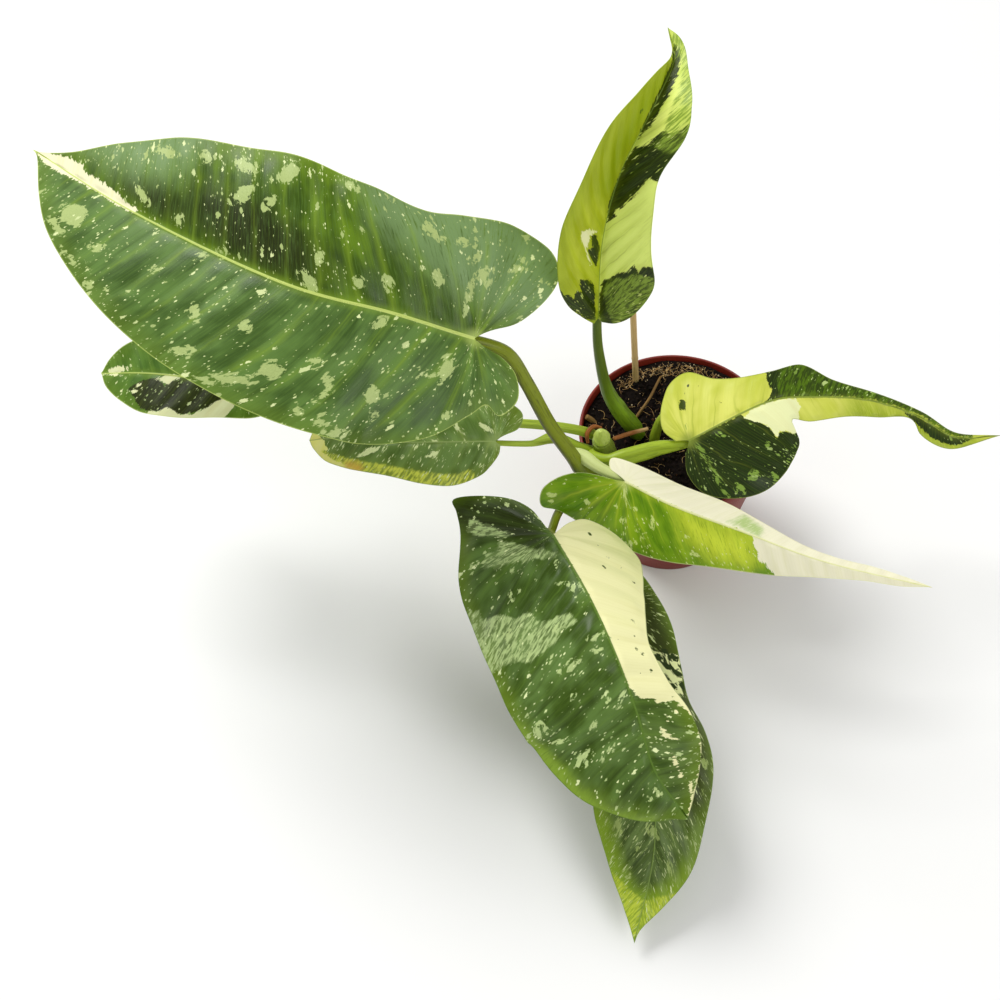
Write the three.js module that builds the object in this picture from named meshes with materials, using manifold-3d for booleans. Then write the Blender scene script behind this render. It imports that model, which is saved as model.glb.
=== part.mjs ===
// Potted philodendron: nursery pot, soil, stake, a short leaning stem, eight leaf stalks and blades.
// Millimetres, +Z up. The origin is the centre of the pot's underside.
import * as THREE from 'three';
import { mergeVertices } from 'three/addons/utils/BufferGeometryUtils.js';
import Module from 'manifold-3d';

const wasm = await Module();
wasm.setup();

// Driving dimensions.
const rimDiameter = 120;
const baseDiameter = 84;
const potHeight = 100;
const lipHeight = 10;
const potWall = 1.2;
const floorThickness = 1.6;
const drainHoleDiameter = 8;
const drainHoleCount = 8;
const drainCircle = 60;
const soilLevel = 92;
const bladeThickness = 0.8;
const deepestRib = 2.4;
const gap = 0.3;

const colours = {
  potPlastic: 0x7d2a1a,
  soil: 0x1d1410,
  bamboo: 0xd9bb85,
  stem: 0x7d8f2a,
  stalk: 0x8fae1e,
  paleStalk: 0xd6dca0,
  bud: 0xb7c95a,
  drySheath: 0xb5702e,
  dryRoot: 0xb58f5a,
  darkLeaf: 0x3f6b1f,
  deepLeaf: 0x2f4a10,
  limeLeaf: 0xb5c93c,
  brightLeaf: 0x5c9a05,
};

// A blade lies along its spine, which runs from behind the stalk's joint to the tip. The joint is the
// second spine point. An outline point is [distance along the midrib from the joint, distance out from
// the midrib], both measured on the blade. Each half leaves the midrib at its fold angle, in degrees
// above flat, and bends by its curl, in radians per millimetre. A fold may change from one spine point
// to the next. The face is the way that the upper side looks.
const bladeShapes = {
  blade_large: {
    spine: [[-78, -44, 232], [-119, -42, 250], [-159, -37, 268], [-215, -23, 282], [-294, 32, 284],
      [-359, 99, 272]],
    face: [-0.1, -0.45, 0.88],
    left: {
      fold: 8,
      curl: -0.004,
      outline: [[-3, 4], [-15, 6], [-25, 14], [-28, 27], [-20, 37], [-12, 33], [-4, 41], [16, 59],
        [50, 70], [100, 67], [155, 61], [200, 49], [240, 34], [266, 19], [287, 3]],
    },
    right: {
      fold: 8,
      curl: -0.004,
      outline: [[-7, 6], [-22, 14], [-35, 30], [-39, 44], [-31, 57], [-8, 63], [22, 60], [44, 56],
        [70, 61], [115, 64], [155, 58], [198, 46], [232, 30], [262, 12], [285, 2]],
    },
    wave: { height: 2.5, length: 62, shift: 12 },
    fanRows: 9,
    mainRows: 18,
    colour: colours.darkLeaf,
  },
  blade_behind_large: {
    spine: [[-242, 16, 146], [-259, 17, 152], [-283, 21, 155], [-317, 31, 152], [-350, 42, 142]],
    face: [-0.1, -0.35, 0.93],
    left: {
      fold: 8,
      curl: -0.005,
      outline: [[-3, 3], [-13, 6], [-16, 14], [-6, 20], [14, 23], [40, 26], [60, 25], [77, 18], [90, 9]],
    },
    right: {
      fold: 8,
      curl: -0.005,
      outline: [[-3, 3], [-14, 7], [-17, 15], [-6, 22], [16, 25], [42, 27], [64, 24], [80, 18], [91, 9]],
    },
    wave: { height: 1, length: 40, shift: 0 },
    fanRows: 5,
    mainRows: 9,
    colour: colours.deepLeaf,
  },
  blade_left_low: {
    spine: [[-95, -39, 150], [-112, -36, 150], [-168, -34, 153], [-203, -23, 146], [-222, -17, 138]],
    face: [-0.1, -0.4, 0.9],
    left: {
      fold: 10,
      curl: -0.006,
      outline: [[-3, 2], [-2, 8], [3, 15], [10, 21], [25, 26], [42, 25], [62, 20], [85, 18], [101, 14],
        [111, 6]],
    },
    right: {
      fold: 10,
      curl: -0.006,
      outline: [[-4, 3], [-12, 8], [-13, 17], [-2, 25], [20, 29], [50, 28], [80, 22], [102, 13],
        [112, 5]],
    },
    wave: { height: 1.2, length: 42, shift: 8 },
    fanRows: 5,
    mainRows: 11,
    colour: colours.darkLeaf,
  },
  blade_top: {
    spine: [[-52, -7, 196], [-51, -7, 218], [-49, 1, 268], [-40, 7, 312], [-22, 21, 344],
      [-11, 42, 352], [-11, 68, 350]],
    face: [0, -0.85, 0.5],
    left: {
      fold: 42,
      curl: -0.006,
      outline: [[-2, 3], [9, 13], [22, 23], [40, 29], [70, 30], [97, 24], [122, 21], [143, 11],
        [160, 3], [177, 1]],
    },
    right: {
      fold: 42,
      curl: -0.006,
      outline: [[-1, 3], [3, 12], [12, 22], [26, 30], [42, 33], [62, 29], [85, 25], [106, 21],
        [128, 23], [140, 18], [156, 8], [175, 4]],
    },
    wave: { height: 1.5, length: 50, shift: 20 },
    fanRows: 5,
    mainRows: 15,
    colour: colours.limeLeaf,
  },
  blade_right: {
    spine: [[-19, -41, 132], [1, -35, 136], [47, -19, 146], [76, -14, 142], [112, -12, 132],
      [142, -19, 122], [164, -30, 113], [194, -26, 106]],
    face: [0, -0.3, 0.95],
    left: {
      fold: 0,
      curl: -0.003,
      outline: [[-7, 3], [-11, 13], [-6, 25], [6, 36], [20, 38], [31, 27], [45, 20], [60, 18], [78, 21],
        [96, 11], [120, 6], [150, 4], [180, 3]],
    },
    right: {
      fold: 0,
      curl: -0.003,
      outline: [[-5, 6], [-9, 18], [-5, 33], [9, 44], [25, 47], [42, 43], [60, 34], [67, 27], [64, 14],
        [78, 15], [100, 12], [125, 9], [145, 3], [156, 9], [170, 9], [186, 4]],
    },
    wave: { height: 1.5, length: 48, shift: 5 },
    fanRows: 7,
    mainRows: 18,
    colour: colours.limeLeaf,
  },
  blade_front: {
    spine: [[-56, -55, 144], [-40, -66, 144], [-15, -86, 146], [22, -101, 138], [68, -115, 122],
      [133, -122, 96]],
    face: [-0.2, -0.7, 0.7],
    left: {
      fold: -62,
      curl: -0.004,
      outline: [[-4, 3], [-12, 5], [-15, 15], [0, 19], [22, 20], [58, 20], [85, 14], [112, 8], [136, 6],
        [158, 6], [180, 3]],
    },
    right: {
      fold: -12,
      curl: -0.006,
      outline: [[-4, 2], [-17, 4], [-29, 8], [-40, 17], [-47, 29], [-45, 40], [-34, 38], [-15, 40],
        [12, 41], [42, 36], [72, 28], [100, 20], [122, 12], [150, 6], [175, 4]],
    },
    wave: { height: 1, length: 44, shift: 15 },
    fanRows: 8,
    mainRows: 14,
    colour: colours.brightLeaf,
  },
  blade_hanging: {
    spine: [[-96, -70, 146], [-84, -102, 150], [-68, -142, 150], [-56, -176, 142], [-47, -202, 124],
      [-39, -225, 100], [-22, -241, 72]],
    face: [-0.1, -0.5, 0.87],
    left: {
      fold: [-48, -48, -48, -42, -30, -10, 0],
      curl: -0.005,
      outline: [[-2, 4], [-10, 18], [-14, 34], [-4, 52], [14, 60], [30, 54], [48, 43], [62, 34],
        [80, 26], [104, 26], [125, 31], [149, 29], [163, 22], [175, 10]],
    },
    right: {
      fold: 0,
      curl: -0.005,
      outline: [[-6, 2], [-22, 3], [-38, 11], [-54, 27], [-62, 40], [-53, 42], [-38, 47], [-12, 61],
        [15, 67], [60, 68], [94, 66], [125, 59], [142, 48], [156, 33], [172, 18]],
    },
    wave: { height: 2, length: 55, shift: 30 },
    fanRows: 9,
    mainRows: 15,
    colour: colours.darkLeaf,
  },
  blade_hanging_low: {
    spine: [[-56, -90, 88], [-51, -112, 90], [-44, -162, 84], [-37, -203, 66], [-39, -245, 38],
      [-54, -289, 12]],
    face: [0, -0.3, 0.95],
    left: {
      fold: 5,
      curl: -0.005,
      outline: [[-4, 4], [-14, 10], [-13, 20], [4, 26], [25, 30], [50, 29], [70, 28], [88, 33],
        [105, 34], [132, 28], [156, 22], [177, 11], [192, 2]],
    },
    right: {
      fold: 5,
      curl: -0.005,
      outline: [[-4, 4], [-15, 10], [-16, 22], [2, 30], [35, 34], [80, 35], [122, 35], [145, 30],
        [165, 22], [182, 11], [193, 4]],
    },
    wave: { height: 1.5, length: 50, shift: 0 },
    fanRows: 6,
    mainRows: 14,
    colour: colours.deepLeaf,
  },
};

// A stalk runs from its foot on the stem to the underside of its blade's joint. Each point is
// [x, y, z, radius]; the end under the blade is worked out, and a rise brings a steep stalk closer. A
// wing is the sheath's free edge: it stands out from the stalk towards a side, by a width at each point.
const stalkShapes = {
  stalk_large: {
    blade: 'blade_large',
    points: [[-46, -23, 108, 4.5], [-51, -31, 111, 5], [-61, -42, 122, 4.6], [-68, -43, 140, 4.3],
      [-81, -41, 170, 4.1], [-93, -40, 208, 3.9], [-103, -40, 234, 3.6]],
    endRadius: 3.2,
    side: [1, 0, 0],
    colour: colours.stem,
  },
  stalk_behind_large: {
    blade: 'blade_behind_large',
    points: [[-47, -21, 119, 3], [-55, -16, 124, 3], [-79, -17, 136, 2.8], [-129, -15, 146, 2.5],
      [-208, 4, 148, 2.2]],
    endRadius: 1.8,
    side: [0, 1, 0],
    colour: colours.stalk,
  },
  stalk_left_low: {
    blade: 'blade_left_low',
    points: [[-46, -22, 112, 2.6], [-59, -25, 121, 2.6], [-76, -28, 136, 2.2], [-92, -35, 144, 1.8]],
    endRadius: 1.6,
    side: [0, 1, 0],
    wing: [0, 1.5, 3.5, 0, 0],
    colour: colours.stalk,
  },
  stalk_top: {
    blade: 'blade_top',
    points: [[-21, 8, 66, 4.6], [-22, 6, 86, 5], [-26, 2, 101, 4.8], [-36, 0, 122, 4.2],
      [-44, -1, 146, 3.6], [-50, -3, 188, 2.8]],
    endRadius: 2.4,
    side: [0.6, 0.8, 0],
    wing: [0, 1, 2, 3, 2, 0, 0],
    colour: colours.stalk,
  },
  stalk_right: {
    blade: 'blade_right',
    points: [[-48, -23, 116, 3], [-55, -28, 119, 3.2], [-47, -36, 124, 3.2], [-36, -35, 127, 3.2],
      [-17, -32, 129, 2.8]],
    endRadius: 2.2,
    side: [0, -0.6, -0.8],
    wing: [0, 0, 1, 5, 4, 0],
    colour: colours.stalk,
  },
  stalk_front: {
    blade: 'blade_front',
    points: [[-48, -24, 113, 4], [-60, -33, 120, 4.4], [-66, -36, 130, 4.8], [-61, -42, 136, 4.4],
      [-52, -53, 139, 3.4]],
    endRadius: 2.6,
    side: [0, 0, -1],
    colour: colours.paleStalk,
  },
  stalk_hanging: {
    blade: 'blade_hanging',
    points: [[-47, -23, 104, 2.8], [-59, -37, 105, 2.8], [-76, -56, 104.5, 2.6], [-83, -76, 113, 2.5],
      [-86, -89, 129, 2.4], [-86, -94, 140, 2.3]],
    endRadius: 2.2,
    rise: 1.2,
    side: [1, 0, 0],
    colour: colours.stem,
  },
  stalk_hanging_low: {
    blade: 'blade_hanging_low',
    points: [[-44, -20, 102, 2.4], [-47, -36, 106, 2.4], [-49, -46, 108, 2.4], [-52, -65, 108, 2.4],
      [-53, -83, 101, 2.3], [-52, -98, 92, 2.2]],
    endRadius: 1.8,
    side: [1, 0, 0],
    colour: colours.stalk,
  },
};

const stemPoints = [[-40, -16, 60, 5.5], [-41, -17, 84, 6], [-44, -19, 100, 6.4], [-47, -22, 116, 6.6],
  [-49, -24, 127, 5.6]];
const budPoints = [[-49, -24, 127.6, 5.2], [-49, -24, 131, 5.4], [-49.5, -25, 135, 4],
  [-50, -26, 139, 1]];
const drySheathPoints = [[-57, -23, 124, 0.9], [-57, -19, 128, 1.4], [-53, -15, 129, 1.4],
  [-48, -14, 126, 0.8]];
const twigPoints = [[-41, -21, 124, 1.2], [-30, -13, 117, 1.4], [-19, -7, 112, 1.1]];
const rootPoints = [[-24, 15, 86, 0.9], [-22, 17, 93, 0.9], [-13, 27, 98, 0.9], [-4, 45, 95, 0.8],
  [-2, 50, 86, 0.8]];
const stubPoints = [[-46, 13, 87, 1.8], [-50, 15, 94, 1.9], [-54, 16, 98, 1.7]];
const shootPoints = [[-13, -3, 84, 3], [-13, -2, 96, 3.2], [-10, 1, 108, 2.8], [-5, 4, 118, 1]];
const stakeEnds = [[-17, 42.5, 50], [-26, 53, 204]];
const stakeDiameter = 4;

const samplesPerSpan = 24;
const edgeSamples = 400;
const veinSweep = 0.45;
const columnPlaces = [0, 0.07, 0.38, 0.7, 1];

function curveThrough(points) {
  const places = points.map(([x, y, z]) => new THREE.Vector3(x, y, z ?? 0));
  return new THREE.CatmullRomCurve3(places, false, 'catmullrom', 0.5);
}

function valueAt(list, place) {
  const index = Math.min(Math.floor(place), list.length - 2);
  return THREE.MathUtils.lerp(list[index], list[index + 1], place - index);
}

// The surface of a blade: its stations along the spine, and the point in space for any point on it.
class BladeSurface {
  constructor(shape) {
    this.shape = shape;
    const curve = curveThrough(shape.spine);
    const spans = shape.spine.length - 1;
    const face = new THREE.Vector3(...shape.face);
    this.stations = [];
    for (let i = 0; i <= spans * samplesPerSpan; i += 1) {
      const place = i / samplesPerSpan;
      this.stations.push({ place, point: curve.getPoint(place / spans) });
    }
    let travelled = 0;
    this.stations.forEach((station, i) => {
      if (i > 0) travelled += station.point.distanceTo(this.stations[i - 1].point);
      station.along = travelled;
    });
    const joint = this.stations[samplesPerSpan].along;
    this.stations.forEach((station, i) => {
      const before = this.stations[Math.max(i - 1, 0)].point;
      const after = this.stations[Math.min(i + 1, this.stations.length - 1)].point;
      station.along -= joint;
      station.forward = after.clone().sub(before).normalize();
      station.up = face.clone().addScaledVector(station.forward, -face.dot(station.forward)).normalize();
    });
    this.length = this.stations.at(-1).along;
    this.widest = Math.max(...shape.left.outline.concat(shape.right.outline).map((p) => p[1]));
    this.ribDepth = Math.min(deepestRib, 0.9 + this.length / 150);
  }

  stationAt(along) {
    const list = this.stations;
    let i = list.findIndex((station) => station.along > along);
    if (i < 1) i = i === 0 ? 1 : list.length - 1;
    const share = (along - list[i - 1].along) / (list[i].along - list[i - 1].along);
    const inside = THREE.MathUtils.clamp(share, 0, 1);
    return {
      place: THREE.MathUtils.lerp(list[i - 1].place, list[i].place, inside),
      point: list[i - 1].point.clone().lerp(list[i].point, share),
      forward: list[i - 1].forward.clone().lerp(list[i].forward, inside).normalize(),
      up: list[i - 1].up.clone().lerp(list[i].up, inside).normalize(),
    };
  }

  point(along, out, half) {
    const { place, point, forward, up } = this.stationAt(along);
    const { fold, curl } = this.shape[half];
    const outward = up.clone().cross(forward).multiplyScalar(half === 'left' ? 1 : -1);
    const start = THREE.MathUtils.degToRad(Array.isArray(fold) ? valueAt(fold, place) : fold);
    const end = start + curl * out;
    const { height, length, shift } = this.shape.wave;
    const wave = height * (out / this.widest) ** 2 * Math.sin((2 * Math.PI * (along + shift)) / length);
    return point
      .addScaledVector(outward, (Math.sin(end) - Math.sin(start)) / curl)
      .addScaledVector(up, (Math.cos(start) - Math.cos(end)) / curl + wave);
  }
}

// One half of a blade as rows of flat points. Each row follows a side vein from the midrib to the edge:
// a fan of rows opens from the joint into the lobe, and the rest leave the midrib at even distances.
function veinRows(surface, half) {
  const { outline } = surface.shape[half];
  const edge = curveThrough([...outline, [surface.length, 0]]).getSpacedPoints(edgeSamples);
  const roots = edge.map((p) => p.x - veinSweep * p.y);
  const lobeEnd = roots.findLastIndex((root) => root <= 0);
  const { fanRows, mainRows } = surface.shape;
  const ends = [];
  for (let i = 0; i < fanRows; i += 1) {
    ends.push({ root: 0, end: edge[Math.round((lobeEnd * i) / fanRows)] });
  }
  for (let i = 0; i <= mainRows; i += 1) {
    const root = (surface.length * i) / mainRows;
    const index = i === mainRows ? edgeSamples : roots.findLastIndex((value) => value <= root);
    ends.push({ root, end: edge[Math.max(index, lobeEnd)] });
  }
  return ends.map(({ root, end }) => columnPlaces.map((v) => {
    const bend = 2 * v * (1 - v);
    const along = root * (1 - v) ** 2 + (root + 0.3 * (end.x - root)) * bend + end.x * v ** 2;
    const out = Math.max(end.y, 0);
    return [along, 0.55 * out * bend + out * v ** 2];
  }));
}

// A blade as a closed thin body, with the midrib as a ridge underneath. It may be grown all round.
function bladeGeometry(surface, grow = 0) {
  const top = [];
  const ridge = [];
  const faces = [];
  const known = new Map();
  const vertex = ([along, out], half) => {
    const key = `${out < 0.01 ? 'rib' : half} ${along.toFixed(2)} ${out.toFixed(2)}`;
    if (!known.has(key)) {
      known.set(key, top.length);
      top.push(surface.point(along, out, half));
      const slimmer = THREE.MathUtils.clamp(1 - along / surface.length, 0, 1);
      ridge.push(out < 0.01 ? surface.ribDepth * slimmer : 0);
    }
    return known.get(key);
  };
  const addFace = (a, b, c, half) => {
    if (a === b || b === c || c === a) return;
    faces.push(half === 'left' ? [a, b, c] : [a, c, b]);
  };
  for (const half of ['left', 'right']) {
    const rows = veinRows(surface, half).map((row) => row.map((flat) => vertex(flat, half)));
    for (let i = 0; i + 1 < rows.length; i += 1) {
      for (let j = 0; j + 1 < rows[i].length; j += 1) {
        addFace(rows[i][j], rows[i + 1][j], rows[i + 1][j + 1], half);
        addFace(rows[i][j], rows[i + 1][j + 1], rows[i][j + 1], half);
      }
    }
  }
  const normals = top.map(() => new THREE.Vector3());
  const edges = new Set();
  for (const [a, b, c] of faces) {
    const across = top[b].clone().sub(top[a]).cross(top[c].clone().sub(top[a]));
    [a, b, c].forEach((i) => normals[i].add(across));
    [[a, b], [b, c], [c, a]].forEach(([i, j]) => edges.add(`${i},${j}`));
  }
  normals.forEach((normal) => normal.normalize());
  const rim = [...edges]
    .map((edge) => edge.split(',').map(Number))
    .filter(([i, j]) => !edges.has(`${j},${i}`));
  const outward = top.map(() => new THREE.Vector3());
  for (const [i, j] of rim) {
    const away = top[j].clone().sub(top[i]).cross(normals[i]).normalize();
    outward[i].add(away);
    outward[j].add(away);
  }
  top.forEach((p, i) => p.addScaledVector(outward[i].normalize(), grow));
  const upper = top.map((p, i) => p.clone().addScaledVector(normals[i], grow));
  const under = top.map((p, i) => p.clone().addScaledVector(normals[i], -bladeThickness - ridge[i] - grow));
  const count = top.length;
  const triangles = [...faces, ...faces.map(([a, b, c]) => [a + count, c + count, b + count])];
  for (const [i, j] of rim) triangles.push([j, i, i + count], [j, i + count, j + count]);
  return closedGeometry([...upper, ...under], triangles);
}

function closedGeometry(points, triangles) {
  const geometry = new THREE.BufferGeometry();
  geometry.setAttribute('position', new THREE.Float32BufferAttribute(points.flatMap((p) => p.toArray()), 3));
  geometry.setIndex(triangles.flat());
  return geometry;
}

// A tapered tube through points of [x, y, z, radius], with an optional thin wing along one side.
function tubeGeometry(points, { side = [0, 0, 1], wing = null, grow = 0, sides = 8, steps = 3 } = {}) {
  const curve = curveThrough(points);
  const radii = points.map((p) => p[3]);
  const towards = new THREE.Vector3(...side);
  const spans = points.length - 1;
  const total = spans * steps;
  const rings = [];
  for (let i = 0; i <= total; i += 1) {
    const place = (i / total) * spans;
    const forward = curve.getTangent(i / total);
    const outward = towards.clone().addScaledVector(forward, -towards.dot(forward)).normalize();
    const across = forward.clone().cross(outward);
    const centre = curve.getPoint(i / total);
    const radius = valueAt(radii, place) + grow;
    const flange = wing ? valueAt(wing, place) : 0;
    const ring = [];
    for (let k = 0; k < sides; k += 1) {
      const angle = (2 * Math.PI * k) / sides;
      const reach = radius + (k === 0 ? flange : 0);
      ring.push(centre.clone()
        .addScaledVector(outward, reach * Math.cos(angle))
        .addScaledVector(across, reach * Math.sin(angle)));
    }
    rings.push(ring);
  }
  const start = curve.getPoint(0).addScaledVector(curve.getTangent(0), -grow);
  const end = curve.getPoint(1).addScaledVector(curve.getTangent(1), grow);
  const vertices = [...rings.flat(), start, end];
  const startIndex = vertices.length - 2;
  const triangles = [];
  for (let k = 0; k < sides; k += 1) {
    const next = (k + 1) % sides;
    for (let i = 0; i < total; i += 1) {
      const near = i * sides;
      const far = near + sides;
      triangles.push([near + k, near + next, far + next], [near + k, far + next, far + k]);
    }
    triangles.push([startIndex, next, k], [startIndex + 1, total * sides + k, total * sides + next]);
  }
  return closedGeometry(vertices, triangles);
}

function solidOf(geometry) {
  const bare = geometry.clone();
  bare.deleteAttribute('normal');
  bare.deleteAttribute('uv');
  const merged = mergeVertices(bare, 1e-4);
  return new wasm.Manifold(new wasm.Mesh({
    numProp: 3,
    vertProperties: Float32Array.from(merged.attributes.position.array),
    triVerts: Uint32Array.from(merged.index.array),
  }));
}

function geometryOf(solid) {
  const mesh = solid.getMesh();
  const geometry = new THREE.BufferGeometry();
  geometry.setAttribute('position', new THREE.BufferAttribute(mesh.vertProperties, 3));
  geometry.setIndex(new THREE.BufferAttribute(mesh.triVerts, 1));
  return geometry;
}

// Cuts the neighbours, each grown by the gap, out of a piece, and keeps the largest body that is left.
function clearOf(solid, neighbours) {
  const cut = neighbours.reduce((rest, neighbour) => rest.subtract(neighbour), solid);
  return cut.decompose().sort((a, b) => b.volume() - a.volume())[0];
}

// The pot: a thin tapered wall with a stepped lip, a flat floor and a ring of drain holes.
const rimRadius = rimDiameter / 2;
const baseRadius = baseDiameter / 2;
const shoulderRadius = rimRadius - 3;
const shoulderHeight = potHeight - lipHeight;
const innerShoulder = shoulderRadius - potWall;
const innerBase = baseRadius - potWall;

function wallRadius(height) {
  const share = (height - floorThickness) / (shoulderHeight - floorThickness);
  return THREE.MathUtils.lerp(innerBase, innerShoulder, share);
}

function potGeometry() {
  const profile = [
    [0, 0], [baseRadius - 1.5, 0], [baseRadius, 1.2], [(baseRadius + shoulderRadius) / 2, 45],
    [shoulderRadius, shoulderHeight], [rimRadius - 1, shoulderHeight + 0.6], [rimRadius, potHeight - 2.2],
    [rimRadius - 0.4, potHeight - 0.4], [rimRadius - 1.2, potHeight], [rimRadius - 2, potHeight - 0.6],
    [rimRadius - 2.4, shoulderHeight + 2], [innerShoulder, shoulderHeight - 0.4],
    [(innerBase + innerShoulder) / 2, 45.8], [innerBase, floorThickness], [0, floorThickness],
  ].map(([r, z]) => new THREE.Vector2(r, z));
  let pot = solidOf(new THREE.LatheGeometry(profile, 40).rotateX(Math.PI / 2));
  for (let i = 0; i < drainHoleCount; i += 1) {
    const angle = (2 * Math.PI * i) / drainHoleCount;
    const hole = new THREE.CylinderGeometry(drainHoleDiameter / 2, drainHoleDiameter / 2, 8, 10)
      .rotateX(Math.PI / 2)
      .translate((drainCircle / 2) * Math.cos(angle), (drainCircle / 2) * Math.sin(angle), 0);
    pot = pot.subtract(solidOf(hole));
  }
  return geometryOf(pot);
}

// The soil: its sides follow the pot's wall and step, and its top is lumpy, heaped against the back of
// the rim and sunk at the hollow behind the stake.
function soilHeight(x, y) {
  const lumps = 1.1 * Math.sin(x / 5.3 + 1) * Math.cos(y / 4.7) + 0.7 * Math.sin(x / 2.9 - y / 3.4);
  const reach = Math.hypot(x, y);
  const heap = 4 * (reach / innerShoulder) ** 4 * (0.6 + (0.4 * (0.5 * x + 0.87 * y)) / Math.max(reach, 1));
  const hollow = 5 * Math.exp(-(((x + 30) / 9) ** 2) - ((y - 24) / 12) ** 2);
  return soilLevel + 0.5 + lumps * (1 - 0.5 * (reach / innerShoulder) ** 4) + heap - hollow;
}

function soilGeometry() {
  const around = 32;
  const circles = 9;
  const points = [new THREE.Vector3(0, 0, soilHeight(0, 0))];
  const triangles = [];
  const ringAt = (radius, height) => {
    const first = points.length;
    for (let k = 0; k < around; k += 1) {
      const angle = (2 * Math.PI * k) / around;
      const x = radius * Math.cos(angle);
      const y = radius * Math.sin(angle);
      points.push(new THREE.Vector3(x, y, height ?? soilHeight(x, y)));
    }
    return first;
  };
  const rings = [];
  const outer = rimRadius - 2.4 - 0.7;
  for (let i = 1; i <= circles; i += 1) rings.push(ringAt((outer * i) / circles));
  rings.push(ringAt(outer, shoulderHeight + 2));
  rings.push(ringAt(innerShoulder - 0.7, shoulderHeight - 0.4));
  rings.push(ringAt(wallRadius(45.8) - gap, 45.8));
  rings.push(ringAt(innerBase - gap, floorThickness + gap));
  for (let k = 0; k < around; k += 1) {
    const next = (k + 1) % around;
    triangles.push([0, rings[0] + k, rings[0] + next]);
    for (let i = 0; i + 1 < rings.length; i += 1) {
      triangles.push([rings[i] + k, rings[i + 1] + k, rings[i + 1] + next]);
      triangles.push([rings[i] + k, rings[i + 1] + next, rings[i] + next]);
    }
  }
  const bottom = points.length;
  points.push(new THREE.Vector3(0, 0, floorThickness + gap));
  for (let k = 0; k < around; k += 1) {
    triangles.push([bottom, rings.at(-1) + ((k + 1) % around), rings.at(-1) + k]);
  }
  return closedGeometry(points, triangles);
}

const plant = new THREE.Group();

function addPiece(name, geometry, colour, roughness) {
  const material = new THREE.MeshStandardMaterial({ color: colour, roughness, metalness: 0 });
  const mesh = new THREE.Mesh(geometry, material);
  mesh.name = name;
  plant.add(mesh);
}

// The stem and what stands on or in it. Each later piece is cut clear of the earlier ones.
const grown = [];

function addTube(name, points, colour, options = {}, roughness = 0.6) {
  const solid = clearOf(solidOf(tubeGeometry(points, options)), grown);
  grown.push(solidOf(tubeGeometry(points, { ...options, grow: gap })));
  addPiece(name, geometryOf(solid), colour, roughness);
}

addTube('stem', stemPoints, colours.stem, { side: [1, 0, 0], sides: 12 });

const surfaces = {};
for (const [name, shape] of Object.entries(bladeShapes)) {
  surfaces[name] = new BladeSurface(shape);
  grown.push(solidOf(bladeGeometry(surfaces[name], gap)));
  addPiece(name, bladeGeometry(surfaces[name]), shape.colour, 0.45);
}

for (const [name, shape] of Object.entries(stalkShapes)) {
  const surface = surfaces[shape.blade];
  const { point, up } = surface.stationAt(0);
  const below = bladeThickness + surface.ribDepth + 2 * gap + shape.endRadius - (shape.rise ?? 0);
  const end = point.addScaledVector(up, -below);
  const points = [...shape.points, [end.x, end.y, end.z, shape.endRadius]];
  addTube(name, points, shape.colour, { side: shape.side, wing: shape.wing });
}

addTube('growing_bud', budPoints, colours.bud, { side: [1, 0, 0] });
addTube('dry_sheath', drySheathPoints, colours.drySheath, {}, 0.8);
addTube('dry_twig', twigPoints, colours.drySheath, {}, 0.8);
addTube('air_root', rootPoints, colours.dryRoot, { side: [1, 0, 0] }, 0.8);
addTube('dry_stub', stubPoints, colours.dryRoot, { side: [1, 0, 0] }, 0.8);
addTube('side_shoot', shootPoints, colours.stalk, { side: [1, 0, 0] });

const stakeLine = stakeEnds.map((end) => [...end, stakeDiameter / 2]);
addTube('stake', stakeLine, colours.bamboo, { side: [1, 0, 0], sides: 12, steps: 1 }, 0.7);

addPiece('pot', potGeometry(), colours.potPlastic, 0.5);
addPiece('soil', geometryOf(clearOf(solidOf(soilGeometry()), grown)), colours.soil, 0.95);

export default plant;
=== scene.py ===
# Potted philodendron with marbled leaves: finer leaves, stalks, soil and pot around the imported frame.
# Metres, +Z up. The origin is the centre of the pot's underside.
import bisect
import functools
import math
import random

import bmesh
import bpy
from mathutils import Matrix, Vector, noise


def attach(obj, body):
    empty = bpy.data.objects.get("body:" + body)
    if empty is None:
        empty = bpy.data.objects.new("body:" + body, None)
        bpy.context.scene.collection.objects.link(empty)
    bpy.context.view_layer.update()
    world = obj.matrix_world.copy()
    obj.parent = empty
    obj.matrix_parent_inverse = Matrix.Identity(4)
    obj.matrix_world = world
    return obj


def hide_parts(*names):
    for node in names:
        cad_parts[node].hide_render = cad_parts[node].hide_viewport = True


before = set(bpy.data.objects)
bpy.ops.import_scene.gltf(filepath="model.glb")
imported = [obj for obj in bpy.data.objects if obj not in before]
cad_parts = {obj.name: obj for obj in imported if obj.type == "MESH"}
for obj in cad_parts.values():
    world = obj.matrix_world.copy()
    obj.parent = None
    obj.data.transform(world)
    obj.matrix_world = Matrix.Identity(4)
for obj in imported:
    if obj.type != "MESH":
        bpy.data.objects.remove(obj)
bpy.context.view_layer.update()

mm = 0.001


def colour(text):  # sRGB hex to linear
    parts = [int(text[i:i + 2], 16) / 255 for i in (1, 3, 5)]
    return (*[p / 12.92 if p <= 0.04045 else ((p + 0.055) / 1.055) ** 2.4 for p in parts], 1)


def mixed(low, high, share):
    return low + (high - low) * share


def within(low, high, value):
    return min(max(value, low), high)


def smooth(low, high, value):
    share = within(0, 1, (value - low) / (high - low))
    return share * share * (3 - 2 * share)


def bell(distance, width):
    return math.exp(-(distance / width) ** 2)


def valueAt(values, place):
    index = min(int(place), len(values) - 2)
    return mixed(values[index], values[index + 1], min(place - index, 1))


view = {
    "place": (-111.8, -529.5, 828.7),
    "elevation": 56.3,
    "roll": -4.0,
    "lens": 52.2,
}

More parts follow.
